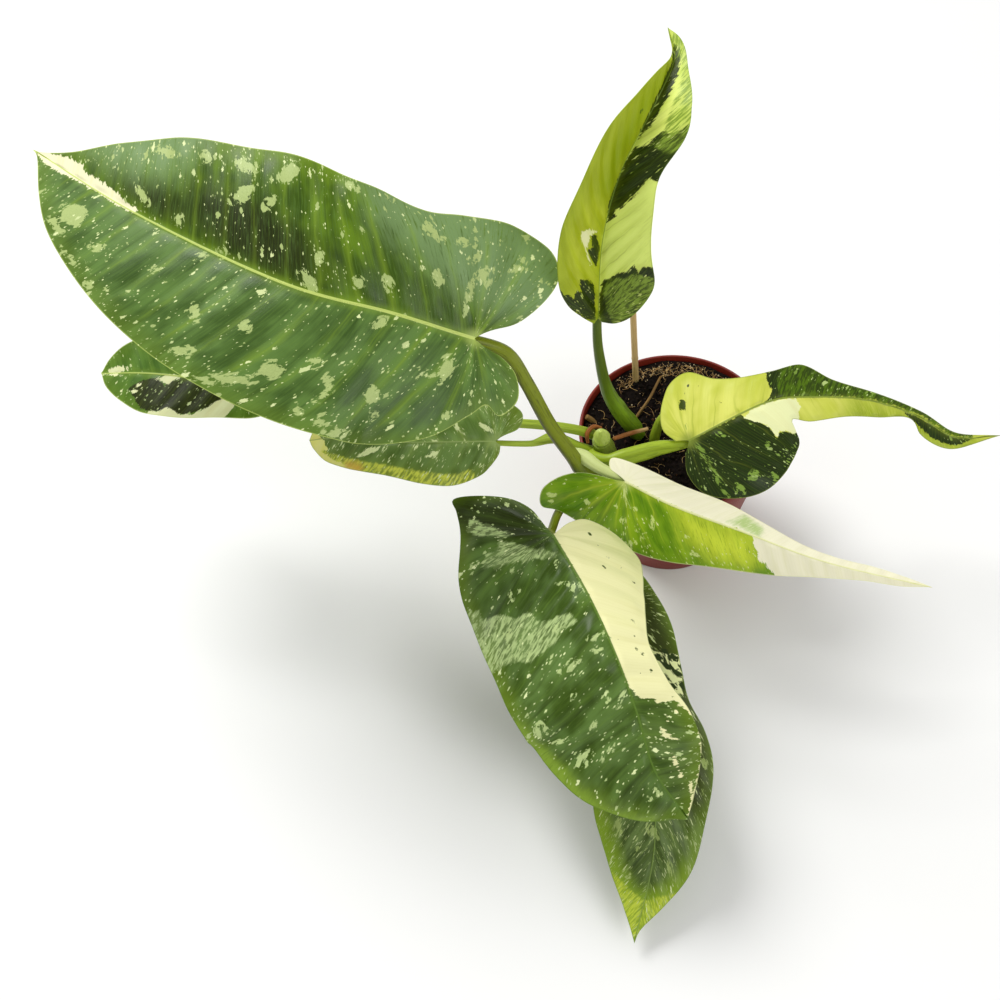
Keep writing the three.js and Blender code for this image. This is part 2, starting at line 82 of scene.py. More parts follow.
studio = {
    "air": "#ffffff",
    "airStrength": 0.5,
    "floor": "#f4f4f2",
    "lamps": [  # name, place, aim, size, watts
        ("key_softbox", (-0.9, 0.9, 1.9), (-0.1, 0, 0.15), 1.1, 34),
        ("front_softbox", (0.9, -1.3, 1.6), (0, 0, 0.1), 1.2, 13),
    ],
}

cameraData = bpy.data.cameras.new("photo_camera")
cameraData.sensor_fit = "HORIZONTAL"
cameraData.sensor_width = 36
cameraData.lens = view["lens"]
cameraData.clip_start = 0.05
cameraData.clip_end = 30
camera = bpy.data.objects.new("photo_camera", cameraData)
bpy.context.scene.collection.objects.link(camera)
turn = Matrix.Rotation(math.radians(90 - view["elevation"]), 4, "X")
turn = turn @ Matrix.Rotation(math.radians(view["roll"]), 4, "Z")
camera.matrix_world = Matrix.Translation(Vector(view["place"]) * mm) @ turn
bpy.context.scene.camera = camera
bpy.context.scene.view_settings.view_transform = "Standard"

world = bpy.data.worlds.new("studio")
bpy.context.scene.world = world
world.use_nodes = True
world.node_tree.nodes["Background"].inputs["Color"].default_value = colour(studio["air"])
world.node_tree.nodes["Background"].inputs["Strength"].default_value = studio["airStrength"]

for name, place, aim, size, watts in studio["lamps"]:
    lampData = bpy.data.lights.new(name, "AREA")
    lampData.shape = "DISK"
    lampData.size = size
    lampData.energy = watts
    lamp = bpy.data.objects.new(name, lampData)
    lamp.location = place
    lamp.rotation_euler = (Vector(aim) - Vector(place)).to_track_quat("-Z", "Y").to_euler()
    bpy.context.scene.collection.objects.link(lamp)


def setInputs(tree, node, links):  # a node given as a value stands for its first output in use
    for name, value in links.items() if isinstance(links, dict) else enumerate(links):
        if isinstance(value, bpy.types.Node):
            value = next(output for output in value.outputs if output.enabled)
        if isinstance(value, bpy.types.NodeSocket):
            tree.links.new(value, node.inputs[name])
        else:
            node.inputs[name].default_value = value


def addNode(tree, kind, settings, links):
    node = tree.nodes.new("ShaderNode" + kind)
    for name, value in settings.items():
        setattr(node, name, value)
    setInputs(tree, node, links)
    return node


def newMaterial(name, constants):
    material = bpy.data.materials.new(name)
    material.use_nodes = True
    tree = material.node_tree
    shader = tree.nodes["Principled BSDF"]
    setInputs(tree, shader, constants)
    return material, tree, shader


times = {"operation": "MULTIPLY"}
plus = {"operation": "ADD"}
minus = {"operation": "SUBTRACT"}
timesPlus = {"operation": "MULTIPLY_ADD"}
most = {"operation": "MAXIMUM"}
eased = {"interpolation_type": "SMOOTHSTEP"}
paintMix = {"data_type": "RGBA"}
softNoise = {"Scale": 1, "Detail": 4, "Roughness": 0.6}
evenCells = {"Scale": 1, "Randomness": 1}


# A solid surface of plastic, wood, root or peat: two tones in patches, flecks of a third, a fine grain.
# Sizes are in millimetres; a stretch below one draws the pattern out along the object's upright.
def plainMaterial(name, looks):
    material, tree, shader = newMaterial(name, looks["shader"])
    place = addNode(tree, "TexCoord", {}, []).outputs["Object"]
    stretch = looks.get("stretch", 1)
    fields = {}
    for key in ("patch", "grain", "fleck"):
        size = looks[key] * mm
        scaled = addNode(tree, "VectorMath", times, [place, (1 / size, 1 / size, stretch / size)])
        fields[key] = addNode(tree, "TexNoise", {}, {"Vector": scaled, **softNoise})
    share = addNode(tree, "MapRange", eased, [fields["patch"], 0.35, 0.65])
    tones = [colour(tone) for tone in looks["tones"]]
    paint = addNode(tree, "Mix", paintMix, {0: share, 6: tones[0], 7: tones[1]})
    fleckFrom = looks["fleckFrom"]
    share = addNode(tree, "MapRange", eased, [fields["fleck"], fleckFrom, fleckFrom + 0.05])
    paint = addNode(tree, "Mix", paintMix, {0: share, 6: paint, 7: tones[2]})
    share = addNode(tree, "MapRange", eased, [fields["grain"], 0.3, 0.7, *looks["gloss"]])
    relief = addNode(tree, "Bump", {}, {
        "Strength": 0.6, "Distance": looks["bump"] * mm, "Height": fields["grain"]})
    setInputs(tree, shader, {"Base Color": paint, "Roughness": share, "Normal": relief})
    return material


floorLook = {"Base Color": colour(studio["floor"]), "Roughness": 0.9}
floorMaterial = newMaterial("matte_paper_floor", floorLook)[0]


def newPiece(name, bm, materials):
    mesh = bpy.data.meshes.new(name)
    bm.to_mesh(mesh)
    bm.free()
    for face in mesh.polygons:
        face.use_smooth = True
    for material in materials:
        mesh.materials.append(material)
    piece = bpy.data.objects.new(name, mesh)
    bpy.context.scene.collection.objects.link(piece)
    return piece


def seat(piece, node=None):  # gives a finished piece its place in the frame
    if node:
        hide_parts(node)
    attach(piece, "root")
    print(piece.name, len(piece.data.polygons), "faces")


def settle(piece):  # turns live modifiers into plain mesh
    graph = bpy.context.evaluated_depsgraph_get()
    made = bpy.data.meshes.new_from_object(piece.evaluated_get(graph))
    piece.modifiers.clear()
    piece.data = made


bm = bmesh.new()
bmesh.ops.create_grid(bm, x_segments=4, y_segments=4, size=6)
floor = newPiece("studio_floor", bm, [floorMaterial])


def curveThrough(points, perSpan):
    ends = [points[0] * 2 - points[1], *points, points[-1] * 2 - points[-2]]
    made = []
    for i in range(len(points) - 1):
        a, b, c, d = ends[i:i + 4]
        for k in range(perSpan):
            t = k / perSpan
            curve = b * 2 + (c - a) * t + (a * 2 - b * 5 + c * 4 - d) * t * t
            made.append((curve + (b * 3 - a - c * 3 + d) * t ** 3) * 0.5)
    return made + [points[-1]]


def evenPoints(points, count):
    lengths = [0]
    for a, b in zip(points, points[1:]):
        lengths.append(lengths[-1] + (b - a).length)
    made = []
    for k in range(count + 1):
        target = lengths[-1] * k / count
        i = within(1, len(points) - 1, bisect.bisect_right(lengths, target))
        share = (target - lengths[i - 1]) / (lengths[i] - lengths[i - 1])
        made.append(points[i - 1].lerp(points[i], share))
    return made


# A blade follows the frame's blade: the spine runs from behind the joint (the second point) to the
# tip, an outline point is [along the midrib, out from it], all in millimetres on the blade. Marks are
# in the same flat millimetres, with the right half's distance out negative: an area is a closed
# outline, a spot is a slanted oval of centre, half length, half width and slant.
leafForm = {  # millimetres, except for counts and shares
    "spineSteps": 24,  # points in each span of the spine
    "fanDensity": 7,  # rows for each of the blade's own rows round the joint
    "rowStep": 1.9,
    "columns": 36,
    "crowding": 1.35,  # draws the columns towards the midrib
    "veinSweep": 0.45,
    "fanRadius": 40,
    "fanBlend": 8,
    "veinBow": 0.3,
    "grooveDepth": 0.2,
    "grooveWidth": 1.3,
    "ridgeHeight": 0.3,
    "calmJoint": (1, 9),  # the relief fades out over this distance from the joint
    "thickness": 0.8,
    "edgeThickness": 0.45,
    "ribWidth": 1.6,
}
markLayers = {  # three distances to marks in each vector layer
    "marks": ("cream", "dark", "lime"),
    "moreMarks": ("pale", "marble", "shade"),
    "lastMarks": ("speck", "blush", "joint"),
}
bladeLayers = ("veinWay", "bladeForm", *markLayers)
farOff = 30.0  # millimetres to a mark that a blade doesn't have
blades = {}


class BladeSurface:
    def __init__(self, shape):
        self.shape = shape
        spine = [Vector(p) for p in shape["spine"]]
        perSpan = leafForm["spineSteps"]
        points = curveThrough(spine, perSpan)
        self.points = points
        self.places = [i / perSpan for i in range(len(points))]
        travelled = [0]
        for a, b in zip(points, points[1:]):
            travelled.append(travelled[-1] + (b - a).length)
        self.alongs = [t - travelled[perSpan] for t in travelled]
        face = Vector(shape["face"])
        self.forwards = []
        self.ups = []
        for i in range(len(points)):
            forward = (points[min(i + 1, len(points) - 1)] - points[max(i - 1, 0)]).normalized()
            self.forwards.append(forward)
            self.ups.append((face - forward * face.dot(forward)).normalized())
        self.length = self.alongs[-1]
        self.widest = max(p[1] for p in shape["left"]["outline"] + shape["right"]["outline"])

    def pointAt(self, along, out, side):
        i = within(1, len(self.alongs) - 1, bisect.bisect_right(self.alongs, along))
        share = (along - self.alongs[i - 1]) / (self.alongs[i] - self.alongs[i - 1])
        inside = within(0, 1, share)
        point = self.points[i - 1].lerp(self.points[i], share)
        forward = self.forwards[i - 1].lerp(self.forwards[i], inside).normalized()
        up = self.ups[i - 1].lerp(self.ups[i], inside).normalized()
        half = self.shape["left" if side > 0 else "right"]
        fold = half["fold"]
        if isinstance(fold, list):
            fold = valueAt(fold, mixed(self.places[i - 1], self.places[i], inside))
        curl = half["curl"]
        start = math.radians(fold)
        end = start + curl * out
        height, length, shift = self.shape["wave"]
        wave = height * (out / self.widest) ** 2 * math.sin(2 * math.pi * (along + shift) / length)
        outward = up.cross(forward) * side
        lift = (math.cos(start) - math.cos(end)) / curl + wave
        lean = end * smooth(0, 5, out)  # upright at the midrib, so the two halves don't cross there
        above = up * math.cos(lean) - outward * math.sin(lean)
        return point + outward * ((math.sin(end) - math.sin(start)) / curl) + up * lift, above

    def veinEnds(self, side, fanRows, mainRows):
        outline = self.shape["left" if side > 0 else "right"]["outline"]
        corners = [Vector((x, y, 0)) for x, y in outline] + [Vector((self.length, 0, 0))]
        edge = evenPoints(curveThrough(corners, 40), 1600)
        roots = [p.x - leafForm["veinSweep"] * p.y for p in edge]
        lobeEnd = max(i for i, root in enumerate(roots) if root <= 0)
        ends = [(0, edge[round(lobeEnd * i / fanRows)]) for i in range(fanRows)]
        for i in range(mainRows + 1):
            root = self.length * i / mainRows
            index = len(edge) - 1
            if i < mainRows:
                index = max(k for k, value in enumerate(roots) if value <= root)
            ends.append((root, edge[max(index, lobeEnd)]))
        return ends


def insideness(point, outline):  # signed distance to a closed outline, below zero inside it
    x, y = point
    nearest = 1e9
    inside = False
    for (ax, ay), (bx, by) in zip(outline, outline[1:] + outline[:1]):
        dx = bx - ax
        dy = by - ay
        share = within(0, 1, ((x - ax) * dx + (y - ay) * dy) / (dx * dx + dy * dy + 1e-9))
        nearest = min(nearest, math.hypot(x - ax - share * dx, y - ay - share * dy))
        if (ay > y) != (by > y) and x < (bx - ax) * (y - ay) / (by - ay) + ax:
            inside = not inside
    return -nearest if inside else nearest


def spotness(point, spot):  # signed distance to a slanted oval, below zero inside it
    centreX, centreY, halfLength, halfWidth, slant = spot
    turn = math.radians(slant)
    dx = point[0] - centreX
    dy = point[1] - centreY
    a = dx * math.cos(turn) + dy * math.sin(turn)
    b = dy * math.cos(turn) - dx * math.sin(turn)
    reach = math.hypot(a / halfLength, b / halfWidth)
    return (max(reach, 0.2) - 1) * min(halfLength, halfWidth)


def markDistance(point, looks, kind):
    distances = [farOff]
    for outline in looks.get(kind + "Areas", []):
        distances.append(insideness(point, outline))
    for spot in looks.get(kind + "Spots", []):
        distances.append(spotness(point, spot))
    return min(distances)


def buildBlade(name, node, shape, materials, detail):  # detail makes the mesh finer
    surface = BladeSurface(shape)
    blades[node] = surface
    length = surface.length
    fanRadius = leafForm["fanRadius"]
    fanRows = round(shape["fanRows"] * leafForm["fanDensity"] * detail)
    mainRows = round(length / leafForm["rowStep"] * detail)
    columns = round(leafForm["columns"] * detail)
    looks = shape["looks"]
    sweep = looks.get("sweep", (0.4, 0.15))
    spacing = looks["veinSpacing"]
    ribDrop = min(2.2, 0.7 + length / 150)  # a longer blade has a thicker rib
    bm = bmesh.new()
    layers = {key: bm.verts.layers.float_vector.new(key) for key in bladeLayers}
    down = bm.verts.layers.float_vector.new("down")
    for side in (1, -1):
        ends = surface.veinEnds(side, fanRows, mainRows)
        rows = len(ends) - 1
        before = set(bm.faces)
        grid = bmesh.ops.create_grid(bm, x_segments=rows, y_segments=columns, size=0.5)
        for vertex in grid["verts"]:
            root, end = ends[round((vertex.co.x + 0.5) * rows)]
            v = (vertex.co.y + 0.5) ** leafForm["crowding"]  # 0 at the midrib, 1 at the edge
            bend = 2 * v * (1 - v)
            wide = max(end.y, 0)
            bowed = root + leafForm["veinBow"] * (end.x - root)
            along = root * (1 - v) ** 2 + bowed * bend + end.x * v ** 2
            out = 0.55 * wide * bend + wide * v ** 2
            lean = (sweep[0] + sweep[1] * out / surface.widest) * out
            across = along - lean
            reach = math.hypot(lean, out)
            scale = 1.0
            if across < 0:
                reach = math.hypot(along, out)
                across = -fanRadius * (math.atan2(out, along) - math.atan2(out, lean)) if out else 0
                scale = mixed(1, min(reach / fanRadius, 1), min(-across / leafForm["fanBlend"], 1))
            full = math.hypot(end.x - root, end.y)
            fromEdge = full * (1 - v)
            fromJoint = math.hypot(along, out)
            station = along / length
            vertex[layers["veinWay"]] = Vector((across, reach, scale))
            vertex[layers["bladeForm"]] = Vector((out, fromEdge, side * 20 + station))
            flat = (along, side * out)
            for layer, kinds in markLayers.items():
                vertex[layers[layer]] = Vector([markDistance(flat, looks, kind) for kind in kinds])
            vertex[layers["lastMarks"]].z = fromJoint
            # relief of the upper face: a raised midrib, sunk side veins and the swelling between them
            phase = (across + looks.get("veinShift", 0)) / spacing % 1 - 0.5
            fromVein = abs(phase) * spacing * scale
            fade = smooth(0, 0.12, v) * smooth(1, 0.75, v)
            swell = looks["swell"][side < 0] * fade * (1 - math.cos(2 * math.pi * phase)) / 2
            groove = -leafForm["grooveDepth"] * bell(fromVein, leafForm["grooveWidth"]) * fade * scale
            ribHalf = mixed(looks["rib"][0], looks["rib"][1], within(0, 1, station))
            ridge = leafForm["ridgeHeight"] * bell(out, ribHalf * 1.1) * smooth(1, 0.85, station)
            relief = (swell * scale + groove + ridge) * smooth(*leafForm["calmJoint"], fromJoint)
            slim = within(0, 1, 1 - station) * smooth(-5, 0.5, along)
            under = ribDrop * slim * bell(out, leafForm["ribWidth"])
            thick = mixed(leafForm["edgeThickness"], leafForm["thickness"], smooth(0, 3, fromEdge)) + under
            place, above = surface.pointAt(along, out, side)
            vertex.co = (place + above * relief) * mm
            vertex[down] = above * -thick * mm
        if side < 0:
            bmesh.ops.reverse_faces(bm, faces=[face for face in bm.faces if face not in before])
    bmesh.ops.remove_doubles(bm, verts=bm.verts[:], dist=0.0002 * mm)
    for _ in range(3):  # slivers at the joint and the tip
        crossed = [edge for edge in bm.edges if len(edge.link_faces) > 2]
        bmesh.ops.collapse(bm, edges=crossed, uvs=False)
    below = bm.faces[:]
    made = bmesh.ops.extrude_face_region(bm, geom=bm.faces[:] + bm.edges[:], use_keep_orig=True)
    sheets = set(below + [item for item in made["geom"] if isinstance(item, bmesh.types.BMFace)])
    for vertex in {vertex for face in below for vertex in face.verts}:
        vertex.co += vertex[down]
    for face in below:
        face.material_index = 1
    for edge in bm.edges:
        edge.smooth = len(sheets.intersection(edge.link_faces)) != 1
    bmesh.ops.recalc_face_normals(bm, faces=bm.faces[:])
    bm.verts.layers.float_vector.remove(down)
    seat(newPiece(name, bm, materials), node)


# Living leaf: a waxed, slightly bumpy skin over green tissue. Where the tissue lacks green, it is
# cream; where only its upper layer does, it is pale green. Edges of such sectors are torn along the
# veins, and small flecks are angular cells, longer along the veins.
leafStrength = {  # how strongly each paint covers the ones below it
    "streak": 0.35, "band": 0.45, "shade": 0.9, "shadeStreak": 0.0, "halo": 0.22, "line": 0.2, "fine": 0.05,
    "ribHalo": 0.3, "rib": 0.9, "joint": 0.75, "margin": 0.3, "edge": 0.5, "speck": 0.0, "inDark": 0.65,
    "flecks": 0.9, "creamFine": 0.14, "creamBand": 0.4,
}
leafColours = {
    "green": "#44661f", "light": "#57802b", "deep": "#2c4a10", "shade": "#2c3a05", "lime": "#b5c93c",
    "dark": "#263d0a", "inDark": "#416318", "vein": "#85a32a", "marble": "#a9bf7a", "pale": "#b3c880",
    "fleck": "#dbe5a6", "cream": "#f1edc4", "creamDeep": "#dfdc9c", "blush": "#c9da86", "speck": "#4f6a20",
    "rib": "#c6d672", "margin": "#748f1e", "under": "#86a055",
}
leafPatterns = {  # millimetres across the veins and along them, and detail
    "streak": (0.9, 10, 4), "cloud": (15, 26, 2), "tear": (2.2, 7, 4), "fine": (0.5, 1.1, 2),
    "band": (4, 60, 2), "net": (1.5, 6.5, 4),
}
leafStreaks = {  # the pattern it is cut from, and the values where it starts and is full
    "streak": ("streak", 0.45, 0.75), "band": ("band", 0.45, 0.75), "limeStreak": ("streak", 0.2, 0.5),
    "darkStreak": ("streak", 0.42, 0.7), "marbleStreak": ("net", 0.42, 0.58),
}
markSoftness = {  # millimetres over which the edge of a mark fades
    "cream": 0.25, "dark": 0.3, "lime": 3.5, "pale": 0.25, "marble": 1.0, "shade": 9.0, "speck": 0.2,
    "blush": 3.0,
}
leafSizes = {  # millimetres
    "tear": 7.0,  # how far the veins tear the edge of a sector
    "block": (2.3, 3.4),  # angular cells that break the edge of a patch
    "bareSpeckCell": (5.0, 7.0),
    "veinWander": 10.0,
    "veinLine": (0.8, 0.1),
    "veinHalo": (4.0, 0.0),
    "fineVein": 1.9,
    "clearEdgeAndHighlight": (0.7, 0.3),
    "relief": 0.12,
}


def leafMaterial(name, looks, underside=False):
    material, tree, shader = newMaterial(name, {"IOR": 1.42, "Specular IOR Level": 0.27})
    add = functools.partial(addNode, tree)
    parts = {}
    for key in bladeLayers:
        whole = add("Attribute", {"attribute_name": key}, []).outputs["Vector"]
        parts[key] = add("SeparateXYZ", {}, [whole]).outputs
    across, reach, fanScale = parts["veinWay"]
    out, fromEdge, station = parts["bladeForm"]
    place = add("CombineXYZ", {}, [across, reach, station])

    distances = {}
    for layer, kinds in markLayers.items():
        distances.update(zip(kinds, parts[layer]))

    fields = {}
    for key, (acrossSize, alongSize, detail) in leafPatterns.items():
        scaled = add("VectorMath", times, [place, (1 / acrossSize, 1 / alongSize, 3.7)])
        fields[key] = add("TexNoise", {}, {"Vector": scaled, **softNoise, "Detail": detail})

    acrossSize, alongSize = leafSizes["block"]
    scaled = add("VectorMath", timesPlus, [place, (1 / acrossSize, 1 / alongSize, 4.3), fields["fine"]])
    blocks = add("TexVoronoi", {"distance": "MANHATTAN"}, {"Vector": scaled, **evenCells})
    blocks = add("SeparateXYZ", {}, [blocks.outputs[1]])

    tear = looks.get("tear", leafSizes["tear"])
    tearing = add("Math", timesPlus, [fields["tear"], tear, -tear / 2])
    tearing = add("Math", plus, [tearing, add("Math", timesPlus, [fields["fine"], 1.6, -0.8])])
    spotTearing = add("Math", timesPlus, [blocks, 3.0, -1.5])
    spotTearing = add("Math", timesPlus, [tearing, 0.25, spotTearing])
    speckTearing = add("Math", times, [spotTearing, 0.4])
    ownTearing = {"pale": spotTearing, "shade": 0.0, "speck": speckTearing}
    areas = {}
    for key, soft in markSoftness.items():
        soft = looks.get(key + "Soft", soft)
        torn = add("Math", plus, [distances[key], ownTearing.get(key, tearing)])
        areas[key] = add("MapRange", eased, [torn, soft, -soft])

    # angular flecks in several sizes, thicker where the cloud field is high
    fleck = None
    brightFleck = None
    margin = add("MapRange", eased, [fromEdge, 26, 2, 0, looks.get("marginFlecks", 0.08)])
    for size, longer, share, seed in looks["flecks"]:
        scaled = add("VectorMath", timesPlus,
                     [place, (1 / size, 1 / (size * longer), 5.3), (seed, seed * 1.7, seed)])
        bent = add("TexNoise", {}, {"Vector": scaled, "Scale": 1.9, "Detail": 4, "Roughness": 0.7})
        moved = add("VectorMath", timesPlus, [bent.outputs[1], (1.0, 1.0, 0), scaled])
        cells = add("TexVoronoi", {"distance": "MANHATTAN"}, {"Vector": moved, **evenCells})
        lots = add("SeparateXYZ", {}, [cells.outputs[1]]).outputs
        chance = add("Math", plus, [lots[0], add("Math", timesPlus, [fields["cloud"], 0.6, -0.3])])
        chance = add("Math", plus, [chance, margin])
        radius = add("MapRange", eased, [chance, 1 - share, 1.0, 0.0, 0.5])
        cell = add("MapRange", eased, [add("Math", minus, [cells, radius]), 0.03, -0.05])
        bright = add("Math", times, [cell, add("MapRange", {}, [lots[1], 0.35, 0.8])])
        fleck = add("Math", most, [fleck, cell]) if fleck else cell
        brightFleck = add("Math", most, [brightFleck, bright]) if brightFleck else bright
    zone = areas["dark"]
    if looks.get("fleckZone") != "dark":
        zone = add("Math", minus, [1.0, areas["cream"]])
    fleck = add("Math", times, [fleck, zone])
    brightFleck = add("Math", times, [brightFleck, zone])

    # tiny dark specks where the tissue is bare
    acrossSize, alongSize = leafSizes["bareSpeckCell"]
    scaled = add("VectorMath", times, [place, (1 / acrossSize, 1 / alongSize, 4.1)])
    cells = add("TexVoronoi", {}, {"Vector": scaled, **evenCells})
    radius = add("MapRange", eased, [add("SeparateXYZ", {}, [cells.outputs[1]]), 0.55, 1.0, 0.0, 0.09])
    bareSpeck = add("MapRange", eased, [add("Math", minus, [cells, radius]), 0.02, -0.02])

    # side veins in real distance, since the fan's rows draw together at the joint
    spacing = looks["veinSpacing"]
    phase = add("Math", plus, [across, looks.get("veinShift", 0.0)])
    wander = looks.get("veinWander", leafSizes["veinWander"])
    phase = add("Math", timesPlus, [fields["cloud"], wander, phase])
    phase = add("Math", {"operation": "FRACT"}, [add("Math", times, [phase, 1 / spacing])])
    fromVein = add("Math", timesPlus, [phase, spacing, -spacing / 2])
    fromVein = add("Math", {"operation": "ABSOLUTE"}, [fromVein])
    fromVein = add("Math", times, [fromVein, fanScale])
    edgeFade = add("MapRange", eased, [fromEdge, 2, 24])
    edgeFade = add("Math", times, [edgeFade, add("Math", timesPlus, [areas["dark"], -0.8, 1.0])])
    edgeFade = add("Math", times, [edgeFade, add("Math", timesPlus, [areas["shade"], -0.6, 1.0])])
    veinLine = add("Math", times, [add("MapRange", eased, [fromVein, *leafSizes["veinLine"]]), edgeFade])
    veinHalo = add("Math", times, [add("MapRange", eased, [fromVein, *leafSizes["veinHalo"]]), edgeFade])
    veinHalo = add("Math", times, [veinHalo, add("MapRange", eased, [fields["band"], 0.4, 0.6, 0.3, 1.2])])
    bent = add("Math", times, [fields["band"], 9])
    fineVein = add("Math", timesPlus, [across, 2 * math.pi / leafSizes["fineVein"], bent])
    fineVein = add("Math", {"operation": "SINE"}, [fineVein])
    fineVein = add("MapRange", eased, [fineVein, 0.5, 1.0])

    # midrib and the thin clear edge, partly a painted highlight along the rim
    ribHalf = add("MapRange", eased, [add("Math", {"operation": "FRACT"}, [station]), 0, 1, *looks["rib"]])
    fromRib = add("Math", minus, [out, ribHalf])

    streaks = {}
    for key, (pattern, low, high) in leafStreaks.items():
        streaks[key] = add("MapRange", eased, [fields[pattern], low, high])
    strength = {**leafStrength, **looks.get("strength", {})}
    speckZone = areas["cream"] if looks.get("speckZone") == "cream" else strength["speck"]
    marbled = add("Math", timesPlus, [streaks["marbleStreak"], 0.8, 0.2])
    nearJoint = add("MapRange", eased, [distances["joint"], 8.0, 1.0])
    masks = [  # share, how strong, and the paint laid over what is below
        (streaks["streak"], strength["streak"], "light"),
        (streaks["band"], strength["band"], "deep"),
        (add("MapRange", eased, [fromEdge, 15, 1]), strength["margin"], "margin"),
        # a soft darker area: painted shade on the large leaf, a darker tone of the tissue on the other
        # blades
        (areas["shade"], strength["shade"], "shade"),
        (add("Math", times, [areas["shade"], streaks["streak"]]), strength["shadeStreak"], "light"),
        (areas["lime"], streaks["limeStreak"], "lime"),
        (areas["dark"], 1.0, "dark"),
        (add("Math", times, [areas["dark"], streaks["darkStreak"]]), strength["inDark"], "inDark"),
        (veinHalo, strength["halo"], "vein"),
        (veinLine, strength["line"], "vein"),
        (fineVein, strength["fine"], "vein"),
        (areas["marble"], marbled, "marble"),
        (areas["pale"], add("MapRange", eased, [fields["fine"], 0.2, 0.6, 0.75, 1.0]), "pale"),
        (fleck, strength["flecks"], "pale"),
        (brightFleck, 1.0, "fleck"),
        (add("MapRange", eased, [fromRib, 4.0, 0.0]), strength["ribHalo"], "vein"),
        (areas["cream"], 1.0, "cream"),
        (add("Math", times, [areas["cream"], fineVein]), strength["creamFine"], "creamDeep"),
        (add("Math", times, [areas["cream"], streaks["band"]]), strength["creamBand"], "creamDeep"),
        (areas["blush"], streaks["limeStreak"], "blush"),
        (bareSpeck, speckZone, "speck"),
        (areas["speck"], 1.0, "speck"),
        (nearJoint, strength["joint"], "rib"),
        (add("MapRange", eased, [fromRib, 0.2, -0.2]), strength["rib"], "rib"),
        # partly painted highlight: the pale line along the edge also stands in for the light caught by the
        # rim
        (add("MapRange", eased, [fromEdge, *leafSizes["clearEdgeAndHighlight"]]), strength["edge"], "rib"),
    ]
    paints = {key: colour(value) for key, value in {**leafColours, **looks["colours"]}.items()}
    share = add("MapRange", eased, [fields["cloud"], 0.35, 0.65])
    paint = add("Mix", paintMix, {0: share, 6: paints["green"], 7: paints["light"]})
    if "rightGreen" in paints:  # the right half has its own greens; on the large leaf this is painted light, the yellower right half standing in for the sheen the left half catches
        right = add("Mix", paintMix, {0: share, 6: paints["rightGreen"], 7: paints["rightLight"]})
        share = add("MapRange", {}, [station, 0.5, -0.5])
        paint = add("Mix", paintMix, {0: share, 6: paint, 7: right})
    for mask, strong, key in masks:
        share = add("Math", times, [mask, strong])
        paint = add("Mix", paintMix, {0: share, 6: paint, 7: paints[key]})
    if underside:  # paler and greyer below, as the veins and the spongy tissue show
        paint = add("Mix", paintMix, {0: 0.4, 6: paint, 7: paints["under"]})

    gloss = (0.5, 0.62) if underside else (0.3, 0.42)
    rough = add("MapRange", eased, [fields["cloud"], 0.3, 0.7, *gloss])
    height = add("Math", timesPlus, [fineVein, -0.2, fields["streak"]])
    height = add("Math", timesPlus, [fields["fine"], 0.5, height])
    height = add("Math", timesPlus, [fields["cloud"], 3.0, height])
    height = add("Math", times, [height, add("MapRange", eased, [distances["joint"], 2.5, 9.0])])
    relief = add("Bump", {}, {"Strength": 0.5, "Distance": leafSizes["relief"] * mm, "Height": height})
    setInputs(tree, shader, {"Base Color": paint, "Roughness": rough, "Normal": relief})
    return material


def dressBlade(name, node, shape, detail):
    looks = shape["looks"]
    top = leafMaterial("waxy_" + name, looks)
    under = leafMaterial("underside_of_" + name, looks, True)
    buildBlade(name, node, shape, [top, under], detail)


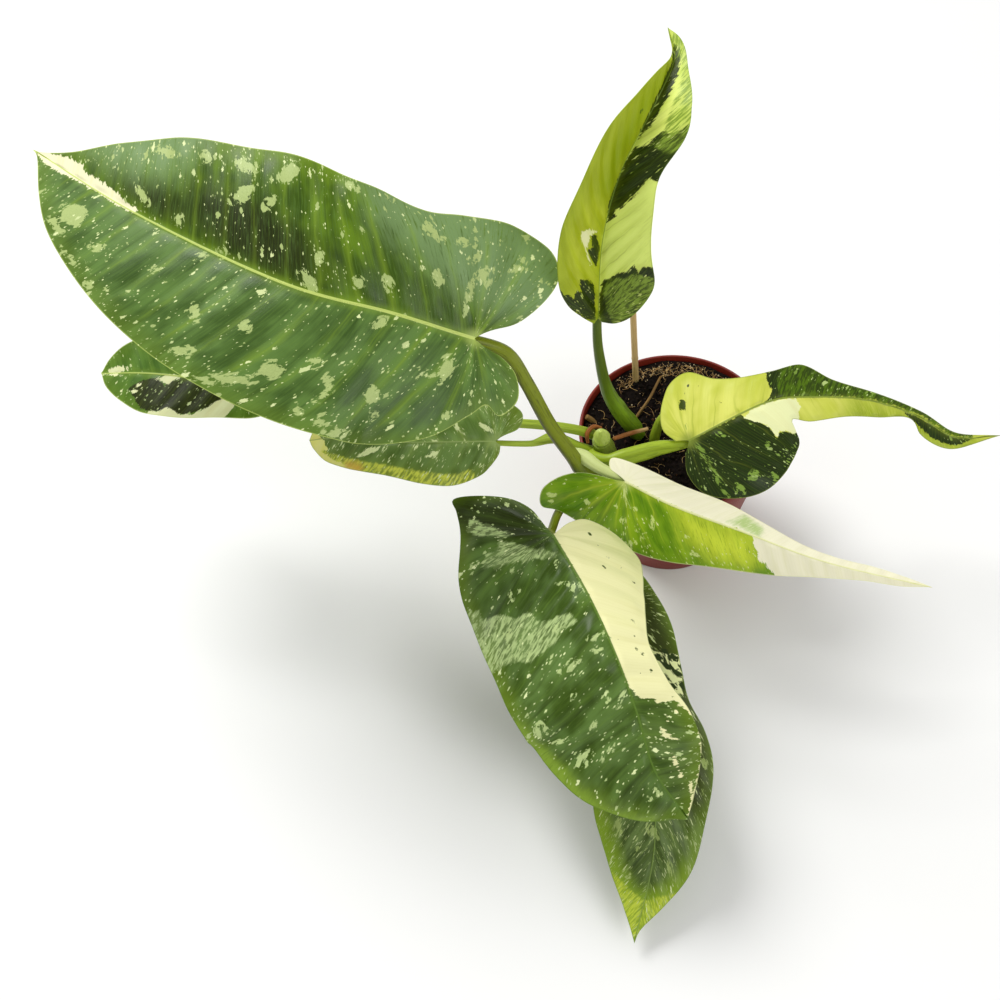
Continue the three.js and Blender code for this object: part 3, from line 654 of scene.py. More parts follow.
bladeLarge = {
    "slot": "leaf_green", "fanRows": 9, "wave": [2.5, 62, 12], "face": [-0.1, -0.45, 0.88],
    "spine": [
        [-78, -44, 232], [-119, -42, 250], [-159, -37, 268], [-215, -23, 282], [-294, 32, 284],
        [-359, 99, 272]],
    "left": {"fold": 8, "curl": -0.004, "outline": [
        [-3, 4], [-15, 6], [-25, 14], [-28, 27], [-20, 37], [-12, 33], [-4, 41], [16, 59], [50, 70],
        [100, 67], [155, 61], [200, 49], [240, 34], [266, 19], [287, 3]]},
    "right": {"fold": 8, "curl": -0.004, "outline": [
        [-7, 6], [-22, 14], [-35, 30], [-39, 44], [-31, 57], [-8, 63], [22, 60], [44, 56], [70, 61],
        [115, 64], [155, 58], [198, 46], [232, 30], [262, 12], [285, 2]]},
    "looks": {
        # painted light: the greyer left greens and the yellower right greens stand in for sheen falling
        # differently on the two halves
        "colours": {
            "green": "#3f5a22", "light": "#5d7d38", "deep": "#2b4410", "rightGreen": "#385204",
            "rightLight": "#5e7e0a", "shade": "#1e2500", "pale": "#adbe76", "lime": "#75915a"},
        "strength": {
            "streak": 0.5, "band": 0.55, "shadeStreak": 0.45, "halo": 0.3, "line": 0.16, "shade": 0.95,
            "joint": 0.45},
        "rib": [0.85, 0.35], "veinSpacing": 19, "veinWander": 7, "limeSoft": 12, "swell": [0.5, 0.9],
        "flecks": [[1.2, 1.8, 0.3, 3.1], [2.8, 1.7, 0.14, 9.4], [4.6, 1.5, 0.05, 5.2]],
        "limeAreas": [
            [[-45, -14], [-12, -14], [14, -20], [44, -32], [66, -44], [78, -66], [20, -70], [-40, -62]],
            [[186, -26], [206, -18], [236, -14], [258, -16], [240, -34], [204, -52], [176, -60]]],
        "creamAreas": [
            [[295, 0], [282, -3], [264, -7], [251, -8], [246, -5], [236, -6], [221, -5], [207, -3],
             [197, -2], [201, 0.5], [212, 1], [227, 0.3], [246, 1.3], [257, 2], [272, 3], [285, 2]]],
        "paleSpots": [
            [234, 18, 10, 6, 2], [144, -34, 8, 4, 53], [127, -35, 5, 3, 63], [125, -53, 6, 5, 65],
            [151, -48, 8, 3, 174], [176, -43, 4, 3, 169], [202, -36, 8, 2, 7], [137, 32, 5, 3, 133],
            [111, 28, 3, 3, 24], [133, 52, 6, 2, 17], [106, 55, 10, 3, 32], [93, 44, 5, 4, 47],
            [119, 61, 5, 1.5, 22], [91, -5, 6, 3, 142], [89, -18, 3, 3, 16], [65, -11, 3, 3, 13],
            [50, -14, 4, 2.5, 115], [28, -24, 4, 3, 121], [38, -47, 4, 3, 140], [20, -46, 3, 2, 23],
            [9, -20, 7, 2, 90], [4, -33, 5, 3, 36], [-15, -41, 6, 2, 59], [76, 34, 4, 2, 50],
            [69, 43, 4, 2, 107], [45, 44, 5, 4, 146], [41, 53, 4, 2, 84], [12, 20, 7, 3.5, 78],
            [171, -7, 3, 2, 130], [207, 26, 5, 2, 16], [169, 21, 3, 2, 21], [150, 4, 4, 2, 40],
            [141, -2, 4, 2, 150], [199, 45, 3, 2, 171], [222, 38, 7, 1, 169], [239, 28, 7, 2, 169],
            [200, -10, 6, 2, 161], [31, -44, 2, 2, 6], [11, -40, 4, 2, 45], [0, -30, 3, 2, 84],
            [59, -57, 2, 2, 174], [83, -59, 5, 2, 164], [51, 7, 4, 2, 50], [70, 50, 3, 1, 44],
            [20, 26, 2, 2, 111], [6, 44, 2, 2, 69], [69, 63, 3, 2, 14], [62, 67, 6, 2, 6],
            [79, 60, 3, 2, 175]],
        # painted shade: a dark band beside the midrib, where the surface turns away from the light and
        # catches no sheen
        "shadeSpots": [[128, -17, 46, 16, 174], [195, -12, 30, 8, 176]],
    },
}
dressBlade("leaf_large", "blade_large", bladeLarge, 1.2)

bladeTop = {
    "slot": "leaf_lime", "fanRows": 5, "wave": [1.5, 50, 20], "face": [0, -0.85, 0.5],
    "spine": [
        [-52, -7, 196], [-51, -7, 218], [-49, 1, 268], [-40, 7, 312], [-22, 21, 344], [-11, 42, 352],
        [-11, 68, 350]],
    "left": {"fold": 42, "curl": -0.006, "outline": [
        [-2, 3], [9, 13], [22, 23], [40, 29], [70, 30], [97, 24], [122, 21], [143, 11], [160, 3],
        [177, 1]]},
    "right": {"fold": 42, "curl": -0.006, "outline": [
        [-1, 3], [3, 12], [12, 22], [26, 30], [42, 33], [62, 29], [85, 25], [106, 21], [128, 23],
        [140, 18], [156, 8], [175, 4]]},
    "looks": {
        "colours": {
            "green": "#a7b314", "light": "#bcc832", "rightGreen": "#e2f56c", "marble": "#86a036",
            "rightLight": "#eefa80", "deep": "#809008", "lime": "#eeff84", "shade": "#839c08",
            "dark": "#1f2c00", "inDark": "#435a10", "vein": "#94a41c", "rib": "#6f8c1a",
            "pale": "#a9bd50", "fleck": "#dbe48a", "cream": "#ebecb4", "under": "#a5b54a"},
        "strength": {
            "streak": 0.2, "band": 0.14, "shade": 0.7, "halo": 0.22, "line": 0.3, "ribHalo": 0.12,
            "edge": 0.25, "joint": 0.4},
        "sweep": [1.5, 0.4], "rib": [0.3, 0.2], "veinSpacing": 14, "swell": [0.6, 0.2], "tear": 5.5,
        "flecks": [[1, 3.5, 0.2, 5.1], [2, 3, 0.12, 2.2]],
        "fleckZone": "dark",
        "darkAreas": [
            [[35, 29.1], [29, 25.4], [28.7, 22], [24.3, 18.8], [29.1, 17.1], [26.5, 13.5], [35.3, 14.7],
             [31.8, 9.2], [25.8, 4.4], [11, 2.8], [0.3, 2], [4.3, 8.6], [14.8, 17.7], [24.6, 25.4]],
            [[18.2, -0.8], [28.2, -2.9], [31.8, -6.7], [36.6, -11.7], [41.9, -17.6], [48.1, -21.4],
             [43.5, -23.4], [49.4, -25.6], [51.9, -31.4], [47.5, -36], [30, -36], [10, -28], [3, -20.4],
             [-2.5, -10.6], [-3.5, -2.6], [3.8, -0.6]],
            [[64.5, -0.6], [73, 0.4], [83, 0.9], [93.7, 0.7], [103.6, -0.1], [111.2, -1.2], [114.1, -5],
             [119.9, -8.2], [125.6, -10.9], [127.3, -17.4], [132.1, -20.1], [134.3, -24], [128.6, -27],
             [115, -27], [104, -24], [103, -16], [97.2, -14.2], [89.8, -11.9], [81.4, -8], [75.3, -4.2],
             [72.4, -4.3]],
            [[116, -1], [124, -3.4], [134, -4.2], [146, -4.4], [156, -3.8], [166, -2.8], [172, -0.6],
             [166, 2], [156, 2.4], [146, 2.4], [134, 1.8], [124, 1]],
            [[61.4, 9.8], [58.5, 5.4], [49.8, 1.4], [42, 1.9], [37.6, 3.2], [44.3, 7], [51.1, 10.2],
             [52.5, 7.3], [58.1, 9.6]]],
        "creamAreas": [
            [[65.8, 16.4], [66, 11.7], [61.2, 5.9], [60.8, 9.9], [61.4, 10.8], [52, 11.2], [44.3, 8],
             [36.8, 3.9], [41.5, 7.5], [53.6, 13.1], [61.3, 16.3]]],
        "marbleAreas": [
            [[117, -8], [122, -12], [128, -11], [136, -9], [146, -8], [158, -4], [168, -1], [176, 3],
             [179, -2], [172, -8], [156, -13], [146, -20], [134, -28], [124, -28], [119, -20]],
            [[30, -5], [20, -3], [8, -6], [-3, -14], [4, -26], [20, -34], [38, -38], [45, -32], [42, -22],
             [36, -16]]],
        "limeAreas": [
            [[30, -4], [52, -1], [64, -2], [75, -6], [90, -13], [104, -18], [106, -24], [85, -27],
             [60, -31], [53, -30], [48, -21]]],
        "shadeAreas": [[[80, 1], [88, 12], [110, 16], [134, 11], [150, 2], [130, 0], [100, 0]]],
        "speckSpots": [[129, 7, 1, 1, 65]],
    },
}
dressBlade("leaf_top", "blade_top", bladeTop, 1.4)

bladeRight = {
    "slot": "leaf_lime", "fanRows": 7, "wave": [1.5, 48, 5], "face": [0, -0.3, 0.95],
    "spine": [
        [-19, -41, 132], [1, -35, 136], [47, -19, 146], [76, -14, 142], [112, -12, 132], [142, -19, 122],
        [164, -30, 113], [194, -26, 106]],
    "left": {"fold": 0, "curl": -0.003, "outline": [
        [-7, 3], [-11, 13], [-6, 25], [6, 36], [20, 38], [31, 27], [45, 20], [60, 18], [78, 21], [96, 11],
        [120, 6], [150, 4], [180, 3]]},
    "right": {"fold": 0, "curl": -0.003, "outline": [
        [-5, 6], [-9, 18], [-5, 33], [9, 44], [25, 47], [42, 43], [60, 34], [67, 27], [64, 14], [78, 15],
        [100, 12], [125, 9], [145, 3], [156, 9], [170, 9], [186, 4]]},
    "looks": {
        "colours": {
            "green": "#c5cb4e", "light": "#d9db68", "deep": "#b3bb3c", "dark": "#1c2b00",
            "inDark": "#2b4206", "vein": "#9fac34", "cream": "#e6eab0", "rib": "#7f8f34",
            "pale": "#7f9c3e", "fleck": "#b4c77c", "shade": "#8ba012", "speck": "#3c4a10",
            "marble": "#4d6a08", "margin": "#a9b832", "under": "#b9c566"},
        "strength": {
            "speck": 0.5, "band": 0.35, "halo": 0.08, "line": 0.5, "shade": 0.85, "ribHalo": 0.1,
            "shadeStreak": 0.4},
        "sweep": [0.5, 0.2], "rib": [0.6, 0.4], "veinSpacing": 15, "swell": [0.8, 0.8], "tear": 3.5,
        "flecks": [[1.1, 2.2, 0.3, 2.3], [2.2, 2, 0.2, 7.9], [3.6, 1.5, 0.1, 4.9]],
        "fleckZone": "dark",
        "darkAreas": [
            [[-13, -0.4], [34.7, -0.6], [34.7, -3.3], [37.6, -6], [42.1, -9.7], [46.3, -14.7],
             [47.3, -19.4], [47.7, -22.7], [51.1, -19.4], [56.9, -20.4], [61.2, -22.7], [66.3, -21.5],
             [76, -23], [76, -52], [-16, -56]],
            [[56.9, 18.5], [61.1, 24], [68.4, 25], [78, 25], [84.4, 19], [91.7, 14], [104.1, 12],
             [124.7, 8], [146.6, 6.4], [161.6, 5.3], [188.7, 3.1], [188.3, 0.8], [163.2, 1.6],
             [147.5, 1.4], [132.4, 1], [118.2, 1.2], [103.2, 0.6], [80.2, 0.1], [65.3, -0.3], [52.8, -0.6],
             [48, -0.4], [54.6, 2.7], [56.8, 6.5], [55.9, 14.3]],
            [[141, -1], [146, -3.2], [154, -6], [165, -7], [176, -5], [186, -1], [188, 0.5]]],
        "marbleAreas": [
            [[60, 8], [66, 23], [76, 27], [88, 20], [104, 14], [125, 10], [150, 8], [188, 5], [188, -1],
             [150, 0], [125, 0], [103, 0], [80, -0.5], [60, 0]]],
        "shadeAreas": [[[104, 0], [100, -16], [150, -16], [192, -6], [190, 0]]],
        "creamAreas": [
            [[34.7, -3.3], [37.6, -6], [42.1, -9.7], [46.3, -14.7], [47.3, -19.4], [47.7, -22.7],
             [51.1, -19.4], [56.9, -20.4], [61.2, -22.7], [66.3, -21.5], [71, -18], [68.9, -9.7],
             [72.8, -6.2], [69.3, -0.8], [52.8, -0.6], [40, -0.8]]],
        "paleSpots": [
            [4, -19, 12, 1, 92], [23, -36, 3, 3, 159], [12, -40, 3, 2, 94], [35, -42, 2, 2, 110],
            [29, -46, 1, 1, 60], [18, -5, 2, 1, 127], [40, -24, 1, 1, 97]],
        "speckSpots": [[7, 21, 3.4, 2.4, 64], [28, 12, 0.5, 0.5, 0], [16, 30, 0.6, 0.5, 20]],
    },
}
dressBlade("leaf_right", "blade_right", bladeRight, 1.4)

bladeFront = {
    "slot": "leaf_bright_green", "fanRows": 8, "wave": [1, 44, 15], "face": [-0.2, -0.7, 0.7],
    "spine": [
        [-56, -55, 144], [-40, -66, 144], [-15, -86, 146], [22, -101, 138], [68, -115, 122],
        [133, -122, 96]],
    "left": {"fold": -62, "curl": -0.004, "outline": [
        [-4, 3], [-12, 5], [-15, 15], [0, 19], [22, 20], [58, 20], [85, 14], [112, 8], [136, 6], [158, 6],
        [180, 3]]},
    "right": {"fold": -12, "curl": -0.006, "outline": [
        [-4, 2], [-17, 4], [-29, 8], [-40, 17], [-47, 29], [-45, 40], [-34, 38], [-15, 40], [12, 41],
        [42, 36], [72, 28], [100, 20], [122, 12], [150, 6], [175, 4]]},
    "looks": {
        "colours": {
            "green": "#5b8a02", "light": "#8bb01a", "deep": "#3c6802", "lime": "#d0e03c",
            "vein": "#c3d23a", "cream": "#f7f3d3", "creamDeep": "#e8e6b4", "rib": "#eef0b0",
            "pale": "#cfdf86", "fleck": "#e2eaa6", "blush": "#b9cf84", "under": "#a5c255"},
        "strength": {
            "streak": 0.65, "band": 0.7, "halo": 0.25, "line": 0.35, "margin": 0.1, "joint": 0.3},
        "limeSoft": 10, "sweep": [0.7, 0.2], "rib": [0.8, 0.4], "veinSpacing": 13, "swell": [0.7, 0.7],
        "flecks": [[1.1, 2.4, 0.2, 4.4], [2.2, 2, 0.08, 1.3]],
        "creamAreas": [
            [[-20, 0.2], [78.9, 0.2], [81.3, -1.3], [82.1, -5], [86.2, -7.9], [89.8, -12.7], [99, -17],
             [108, -24], [190, -26], [195, 30], [60, 30], [-25, 26]]],
        "limeAreas": [[[34, -1], [80, -1], [83, -5], [90, -14], [86, -20], [64, -24], [45, -16]]],
        "blushAreas": [[[73.8, 13.4], [82.2, 11.3], [85.5, 6.4], [83.1, 0.6], [73.5, 3.1], [64.2, 3.2]]],
        "paleSpots": [
            [-40, -29, 1, 2, 122], [-18, -23, 1, 1, 157], [6, -23, 1, 2, 134], [-1, -16, 1, 1, 143],
            [6, -13, 1, 1, 137], [11, -13, 1, 1, 128], [2, -7, 3, 1, 107], [24, -16, 2, 1, 111],
            [21, -27, 1, 2, 160], [13, -36, 1, 3, 131], [46, -15, 1, 1, 115], [55, -25, 2, 1, 171],
            [-39, -34, 1, 1, 135]],
    },
}
dressBlade("leaf_front", "blade_front", bladeFront, 1.3)

bladeHanging = {
    "slot": "leaf_green", "fanRows": 9, "wave": [2, 55, 30], "face": [-0.1, -0.5, 0.87],
    "spine": [
        [-96, -70, 146], [-84, -102, 150], [-68, -142, 150], [-56, -176, 142], [-47, -202, 124],
        [-39, -225, 100], [-22, -241, 72]],
    "left": {"fold": [-48, -48, -48, -42, -30, -10, 0], "curl": -0.005, "outline": [
        [-2, 4], [-10, 18], [-14, 34], [-4, 52], [14, 60], [30, 54], [48, 43], [62, 34], [80, 26],
        [104, 26], [125, 31], [149, 29], [163, 22], [175, 10]]},
    "right": {"fold": 0, "curl": -0.005, "outline": [
        [-6, 2], [-22, 3], [-38, 11], [-54, 27], [-62, 40], [-53, 42], [-38, 47], [-12, 61], [15, 67],
        [60, 68], [94, 66], [125, 59], [142, 48], [156, 33], [172, 18]]},
    "looks": {
        "colours": {
            "green": "#374f0e", "light": "#5a742c", "deep": "#283803", "cream": "#f4f1b6",
            "creamDeep": "#e6e29c", "fleck": "#e5efb0", "marble": "#b3c884", "lime": "#7f9c30",
            "vein": "#6f9430", "speck": "#3f5216", "rib": "#5d7c28", "pale": "#b9cc86",
            "rightGreen": "#38500c", "rightLight": "#5d7a38", "shade": "#232b02"},
        "strength": {
            "streak": 0.5, "band": 0.6, "halo": 0.2, "line": 0.15, "ribHalo": 0.12, "margin": 0.5,
            "joint": 0.1},
        "rib": [0.8, 0.4], "veinSpacing": 20, "swell": [1, 2.2], "speckZone": "cream",
        "flecks": [[1.2, 2.2, 0.28, 1.7], [2.2, 2, 0.16, 8.8], [3.8, 1.5, 0.06, 3.3]],
        "creamAreas": [
            [[-40, 0.2], [96.5, 0.2], [99.9, 1.1], [104.4, 3.8], [107.5, 5.8], [108.3, 9.5],
             [111.8, 13.3], [114.2, 18.9], [114.3, 23.6], [121.9, 29.3], [130.7, 31.6], [141.7, 30.4],
             [158, 25.9], [167.7, 17.1], [174.2, 8.8], [182, 1.2], [192, 6], [182, 42], [120, 62], [0, 82],
             [-34, 60]]],
        "creamSpots": [
            [130, 13, 5, 1.5, 42], [147, 12, 4, 1, 179], [121, 23, 1, 1, 36], [122, 16, 1, 1, 39],
            [158, 11, 2, 1, 156], [170, 11, 3, 1, 152]],
        "paleSpots": [
            [33, -5, 5, 1, 56], [38, -3, 3, 1, 41], [66, -5, 3, 1, 86], [73, -7, 2, 1, 85],
            [75, -24, 5, 2, 93], [92, -28, 1, 2, 42], [99, -12, 2, 1, 179], [103, -6, 3, 1, 132],
            [111, -23, 2, 1, 129], [118, -45, 1, 3, 5], [131, -34, 6, 2, 123], [129, -20, 3, 1, 132],
            [5, -30, 1, 1, 36], [18, -37, 2, 1, 160], [18, -32, 1, 1, 78], [88, -29, 2, 1, 141],
            [106, -50, 1, 3, 103], [106, -54, 5, 2, 171], [57, -43, 1, 1, 45], [17, -6, 1, 1, 73],
            [53, -23, 3, 2, 90], [38, -49, 4, 2, 5], [156, -5, 3, 1, 15], [158, -10, 1, 1, 173]],
        "shadeAreas": [
            [[-62, -42], [-52, -26], [-36, -10], [-20, -3], [2, -2], [4, -12], [-8, -22], [-24, -30],
             [-34, -42], [-50, -50]]],
        "marbleAreas": [
            [[-44.5, -37.3], [-32.7, -29.6], [-25.6, -26], [-14.5, -19.7], [-15.3, -23.5], [-24.2, -31],
             [-30.4, -38.8], [-38.6, -41.2]],
            [[-16, -27.6], [-7, -19.8], [0.3, -14.3], [12.3, -2.7], [13.5, -5.2], [7.4, -16.8],
             [1, -27.7], [-0.6, -35], [-9.3, -44.6], [-15.2, -38.4], [-11.7, -29.8]],
            [[5.9, -64.2], [10.5, -59.3], [16.9, -60.5], [21.6, -50.1], [30.6, -41.9], [35.1, -32.1],
             [43.5, -30.7], [45.8, -22], [48.3, -12.5], [53.9, -11.5], [55.2, -20.2], [58.6, -27.6],
             [62, -38.6], [64, -44.3], [58, -50], [56, -55.1], [56, -62], [56, -72], [35.3, -74],
             [15.1, -72]]],
        "limeAreas": [
            [[98, -63], [120, -55], [138, -44], [150, -35], [160, -26], [170, -14], [176, -20],
             [160, -42], [130, -66], [98, -74]]],
        "speckSpots": [
            [26, 22, 1, 0.7, 0], [63, 22, 1, 0.8, 40], [84, 17, 0.9, 0.8, 0], [0, 27, 1, 0.8, 20],
            [18, 30, 0.8, 0.8, 0], [37, 40, 1, 0.7, 70], [80, 15, 0.8, 0.7, 0], [95, 18, 0.8, 0.7, 0],
            [25, 36, 0.8, 0.7, 0]],
    },
}
dressBlade("leaf_hanging", "blade_hanging", bladeHanging, 1.4)

bladeHangingLow = {
    "slot": "leaf_deep_green", "fanRows": 6, "wave": [1.5, 50, 0], "face": [0, -0.3, 0.95],
    "spine": [
        [-56, -90, 88], [-51, -112, 90], [-44, -162, 84], [-37, -203, 66], [-39, -245, 38],
        [-54, -289, 12]],
    "left": {"fold": 5, "curl": -0.005, "outline": [
        [-4, 4], [-14, 10], [-13, 20], [4, 26], [25, 30], [50, 29], [70, 28], [88, 33], [105, 34],
        [132, 28], [156, 22], [177, 11], [192, 2]]},
    "right": {"fold": 5, "curl": -0.005, "outline": [
        [-4, 4], [-15, 10], [-16, 22], [2, 30], [35, 34], [80, 35], [122, 35], [145, 30], [165, 22],
        [182, 11], [193, 4]]},
    "looks": {
        "colours": {
            "green": "#3d5018", "light": "#687f40", "deep": "#273808", "lime": "#7d9a20",
            "vein": "#6f8a34", "cream": "#e6ecaa", "pale": "#9db062", "fleck": "#d0dc9c",
            "rib": "#7f9846", "margin": "#7f9f1c", "speck": "#2b3a10", "marble": "#b9c83e",
            "shade": "#353c0c"},
        "strength": {
            "streak": 0.6, "band": 0.6, "halo": 0.1, "line": 0.15, "ribHalo": 0.1, "margin": 0.45},
        "limeSoft": 6, "sweep": [1.5, 0.4], "rib": [0.35, 0.25], "veinSpacing": 20, "swell": [0.8, 0.8],
        "tear": 5,
        "flecks": [[0.9, 4.5, 0.5, 6.3], [1.7, 3.5, 0.35, 2.6], [3.2, 2.2, 0.08, 8.1]],
        "shadeAreas": [
            [[-10, 6], [34, 8], [66, 10], [120, 14], [130, 20], [120, 30], [90, 34], [40, 30], [0, 26]]],
        "marbleAreas": [
            [[164, -22], [172, -10], [176, 0], [172, 8], [166, 20], [180, 14], [198, 2], [194, -8]]],
        "limeAreas": [
            [[96, -31], [120, -30], [140, -24], [158, -18], [170, -8], [170, 2], [164, 10.6], [152, 18.9],
             [140, 30], [163.9, 28], [190, 12], [210, 2], [210, -8], [190, -24], [150, -36], [96, -40]]],
        "creamAreas": [
            [[35.1, 13.8], [39.5, 21.9], [40.7, 28.2], [49.6, 29.6], [65.6, 25.6], [64, 19.5],
             [56.7, 17.6], [47.6, 14.6]]],
        "speckSpots": [
            [41, 17, 4.5, 2.2, 60], [47, 21, 4.6, 2, 40], [43, 26, 3.4, 1.9, 80], [53, 18, 3.6, 2, 20],
            [53, 26, 4.4, 2, 50], [60, 21, 3.4, 1.9, 70], [61, 26, 3, 1.5, 30], [39, 22, 2.4, 1.6, 60],
            [49, 29, 2.6, 1.4, 10]],
        "paleSpots": [
            [135, -21, 4, 2, 179], [137, -1, 4, 2, 45], [164, -13, 1, 2, 149], [158, 11, 3, 1, 22],
            [148, -9, 1, 1, 161], [102, 29, 2, 2, 12], [90, 13, 1, 1, 18]],
    },
}
dressBlade("leaf_hanging_low", "blade_hanging_low", bladeHangingLow, 1.0)

bladeBehindLarge = {
    "slot": "leaf_deep_green", "fanRows": 5, "wave": [1, 40, 0], "face": [-0.1, -0.35, 0.93],
    "spine": [[-242, 16, 146], [-259, 17, 152], [-283, 21, 155], [-317, 31, 152], [-350, 42, 142]],
    "left": {"fold": 8, "curl": -0.005, "outline": [
        [-3, 3], [-13, 6], [-16, 14], [-6, 20], [14, 23], [40, 26], [60, 25], [77, 18], [90, 9]]},
    "right": {"fold": 8, "curl": -0.005, "outline": [
        [-3, 3], [-14, 7], [-17, 15], [-6, 22], [16, 25], [42, 27], [64, 24], [80, 18], [91, 9]]},
    "looks": {
        "colours": {
            "green": "#456a1e", "light": "#5f8430", "deep": "#2f500f", "dark": "#252c04",
            "inDark": "#45500f", "vein": "#8aa63c", "cream": "#eaedb8"},
        "rib": [0.7, 0.3], "veinSpacing": 14, "swell": [0.5, 0.5], "tear": 4,
        "flecks": [[1.2, 2.2, 0.25, 3.9], [2.4, 1.8, 0.12, 8.2]],
        "darkAreas": [
            [[72.8, 10.5], [65, 5.2], [54.4, 2.8], [47.7, 7.4], [43.7, 3], [37.6, 0], [11.1, 7.9],
             [12.1, 11.4], [18.7, 17.5], [28.6, 23.2], [39.8, 23.6], [54.7, 24.1], [61.3, 22.3],
             [67.1, 15.6]]],
        "creamAreas": [
            [[54.7, 24.1], [46.5, 23.8], [44, 20.5], [41.5, 20.6], [37.9, 21.7], [35.8, 23.9],
             [27.1, 22.6], [20, 18.5], [14.2, 12.6], [7.8, 9.1], [4, 14], [12, 30], [56, 34]]],
        "creamSpots": [
            [84, -2, 7, 2, 6], [87, 1, 5, 1, 176], [47, 2, 6, 2, 13], [47, 4, 2, 2, 58],
            [66, 8, 2, 1, 44], [77, 12, 1, 1, 159], [69, 12, 3, 1, 1]],
    },
}
dressBlade("leaf_behind_large", "blade_behind_large", bladeBehindLarge, 1.2)

bladeLeftLow = {
    "slot": "leaf_green", "fanRows": 5, "wave": [1.2, 42, 8], "face": [-0.1, -0.4, 0.9],
    "spine": [[-95, -39, 150], [-112, -36, 150], [-168, -34, 153], [-203, -23, 146], [-222, -17, 138]],
    "left": {"fold": 10, "curl": -0.006, "outline": [
        [-3, 2], [-2, 8], [3, 15], [10, 21], [25, 26], [42, 25], [62, 20], [85, 18], [101, 14],
        [111, 6]]},
    "right": {"fold": 10, "curl": -0.006, "outline": [
        [-4, 3], [-12, 8], [-13, 17], [-2, 25], [20, 29], [50, 28], [80, 22], [102, 13], [112, 5]]},
    "looks": {
        "colours": {
            "green": "#4b612a", "light": "#65803f", "deep": "#3f5214", "vein": "#93a64e",
            "rightGreen": "#55702c", "rightLight": "#7c9850", "cream": "#d9d673", "blush": "#c9a545",
            "pale": "#d3dca0", "fleck": "#cdd99c", "rib": "#8c9e5c", "margin": "#7d8f1c",
            "marble": "#c6cc4e"},
        "strength": {"streak": 0.55, "ribHalo": 0.1, "margin": 0.35},
        "rib": [0.4, 0.25], "veinSpacing": 15, "swell": [0.6, 0.6], "tear": 3.5,
        "flecks": [[0.8, 4.5, 0.4, 7.7], [1.5, 3.4, 0.16, 2.7]],
        "creamAreas": [
            [[114.2, 3.6], [110.1, 3.9], [103.2, 9], [94, 14], [82, 16.5], [72, 19.5], [62, 22.5],
             [54, 26], [60, 32], [100, 24], [118, 10]],
            [[113.6, -6], [106.5, -1.8], [100.1, 7.3], [108.8, 8], [120, 3.6], [120, -8]]],
        "blushAreas": [[[86, 14.5], [77, 14], [74, 17], [76, 19.5], [84, 19.5]]],
        "marbleAreas": [
            [[108, 2], [100, 9], [84, 12], [62, 14], [42, 18], [25, 20], [14, 17], [12, 24], [25, 30],
             [45, 29], [65, 24], [88, 22], [104, 18], [116, 8]]],
        "paleSpots": [
            [37, 8, 2, 1, 19], [72, 6, 4, 1, 30], [20, -6, 4, 1, 126], [35, -2, 1, 1, 116],
            [7, -8, 3, 1, 153]],
    },
}
dressBlade("leaf_left_low", "blade_left_low", bladeLeftLow, 1.2)


# Stalks, stem and the small things at the crown. Points are [x, y, z, radius]; a wing is the sheath's
# free edge and low ridges run along the stalk. "tubeWay" holds the place in the stalk's own frame.
stalkPatterns = {"streak": (0.7, 14), "patch": (7, 22), "grain": (0.5, 1.4)}  # millimetres across and along


def stalkMaterial(name, looks):
    material, tree, shader = newMaterial(name, {"IOR": 1.42, "Specular IOR Level": looks.get("shine", 0.4)})
    add = functools.partial(addNode, tree)
    place = add("Attribute", {"attribute_name": "tubeWay"}, []).outputs["Vector"]
    along = add("SeparateXYZ", {}, [place]).outputs[2]
    fields = {}
    for key, (acrossSize, alongSize) in stalkPatterns.items():
        scaled = add("VectorMath", times, [place, (1 / acrossSize, 1 / acrossSize, 1 / alongSize)])
        fields[key] = add("TexNoise", {}, {"Vector": scaled, **softNoise})
    tones = [colour(tone) for tone in looks["tones"]]
    share = add("MapRange", eased, [along, *looks.get("fade", (0, 60))])
    paint = add("Mix", paintMix, {0: share, 6: tones[0], 7: tones[1]})
    # painted shade: the stalk's left side is darkened towards its third tone
    sideways = add("SeparateXYZ", {}, [place])
    share = add("MapRange", eased, [sideways, 0.5, -3.0, 0, looks.get("shadedSide", 0.0)])
    paint = add("Mix", paintMix, {0: share, 6: paint, 7: tones[2]})
    for key, low, high, strong, tone in (
            ("patch", 0.5, 0.7, 0.6, 1), ("streak", 0.52, 0.66, looks.get("streaks", 0.5), 2),
            ("grain", 0.62, 0.75, looks.get("specks", 0.2), 3)):
        share = add("MapRange", eased, [fields[key], low, high, 0, strong])
        paint = add("Mix", paintMix, {0: share, 6: paint, 7: tones[tone]})
    rough = add("MapRange", eased, [fields["patch"], 0.3, 0.7, *looks.get("gloss", (0.38, 0.52))])
    relief = add("Bump", {}, {
        "Strength": 0.5, "Distance": looks.get("bump", 0.12) * mm, "Height": fields["streak"]})
    setInputs(tree, shader, {"Base Color": paint, "Roughness": rough, "Normal": relief})
    return material


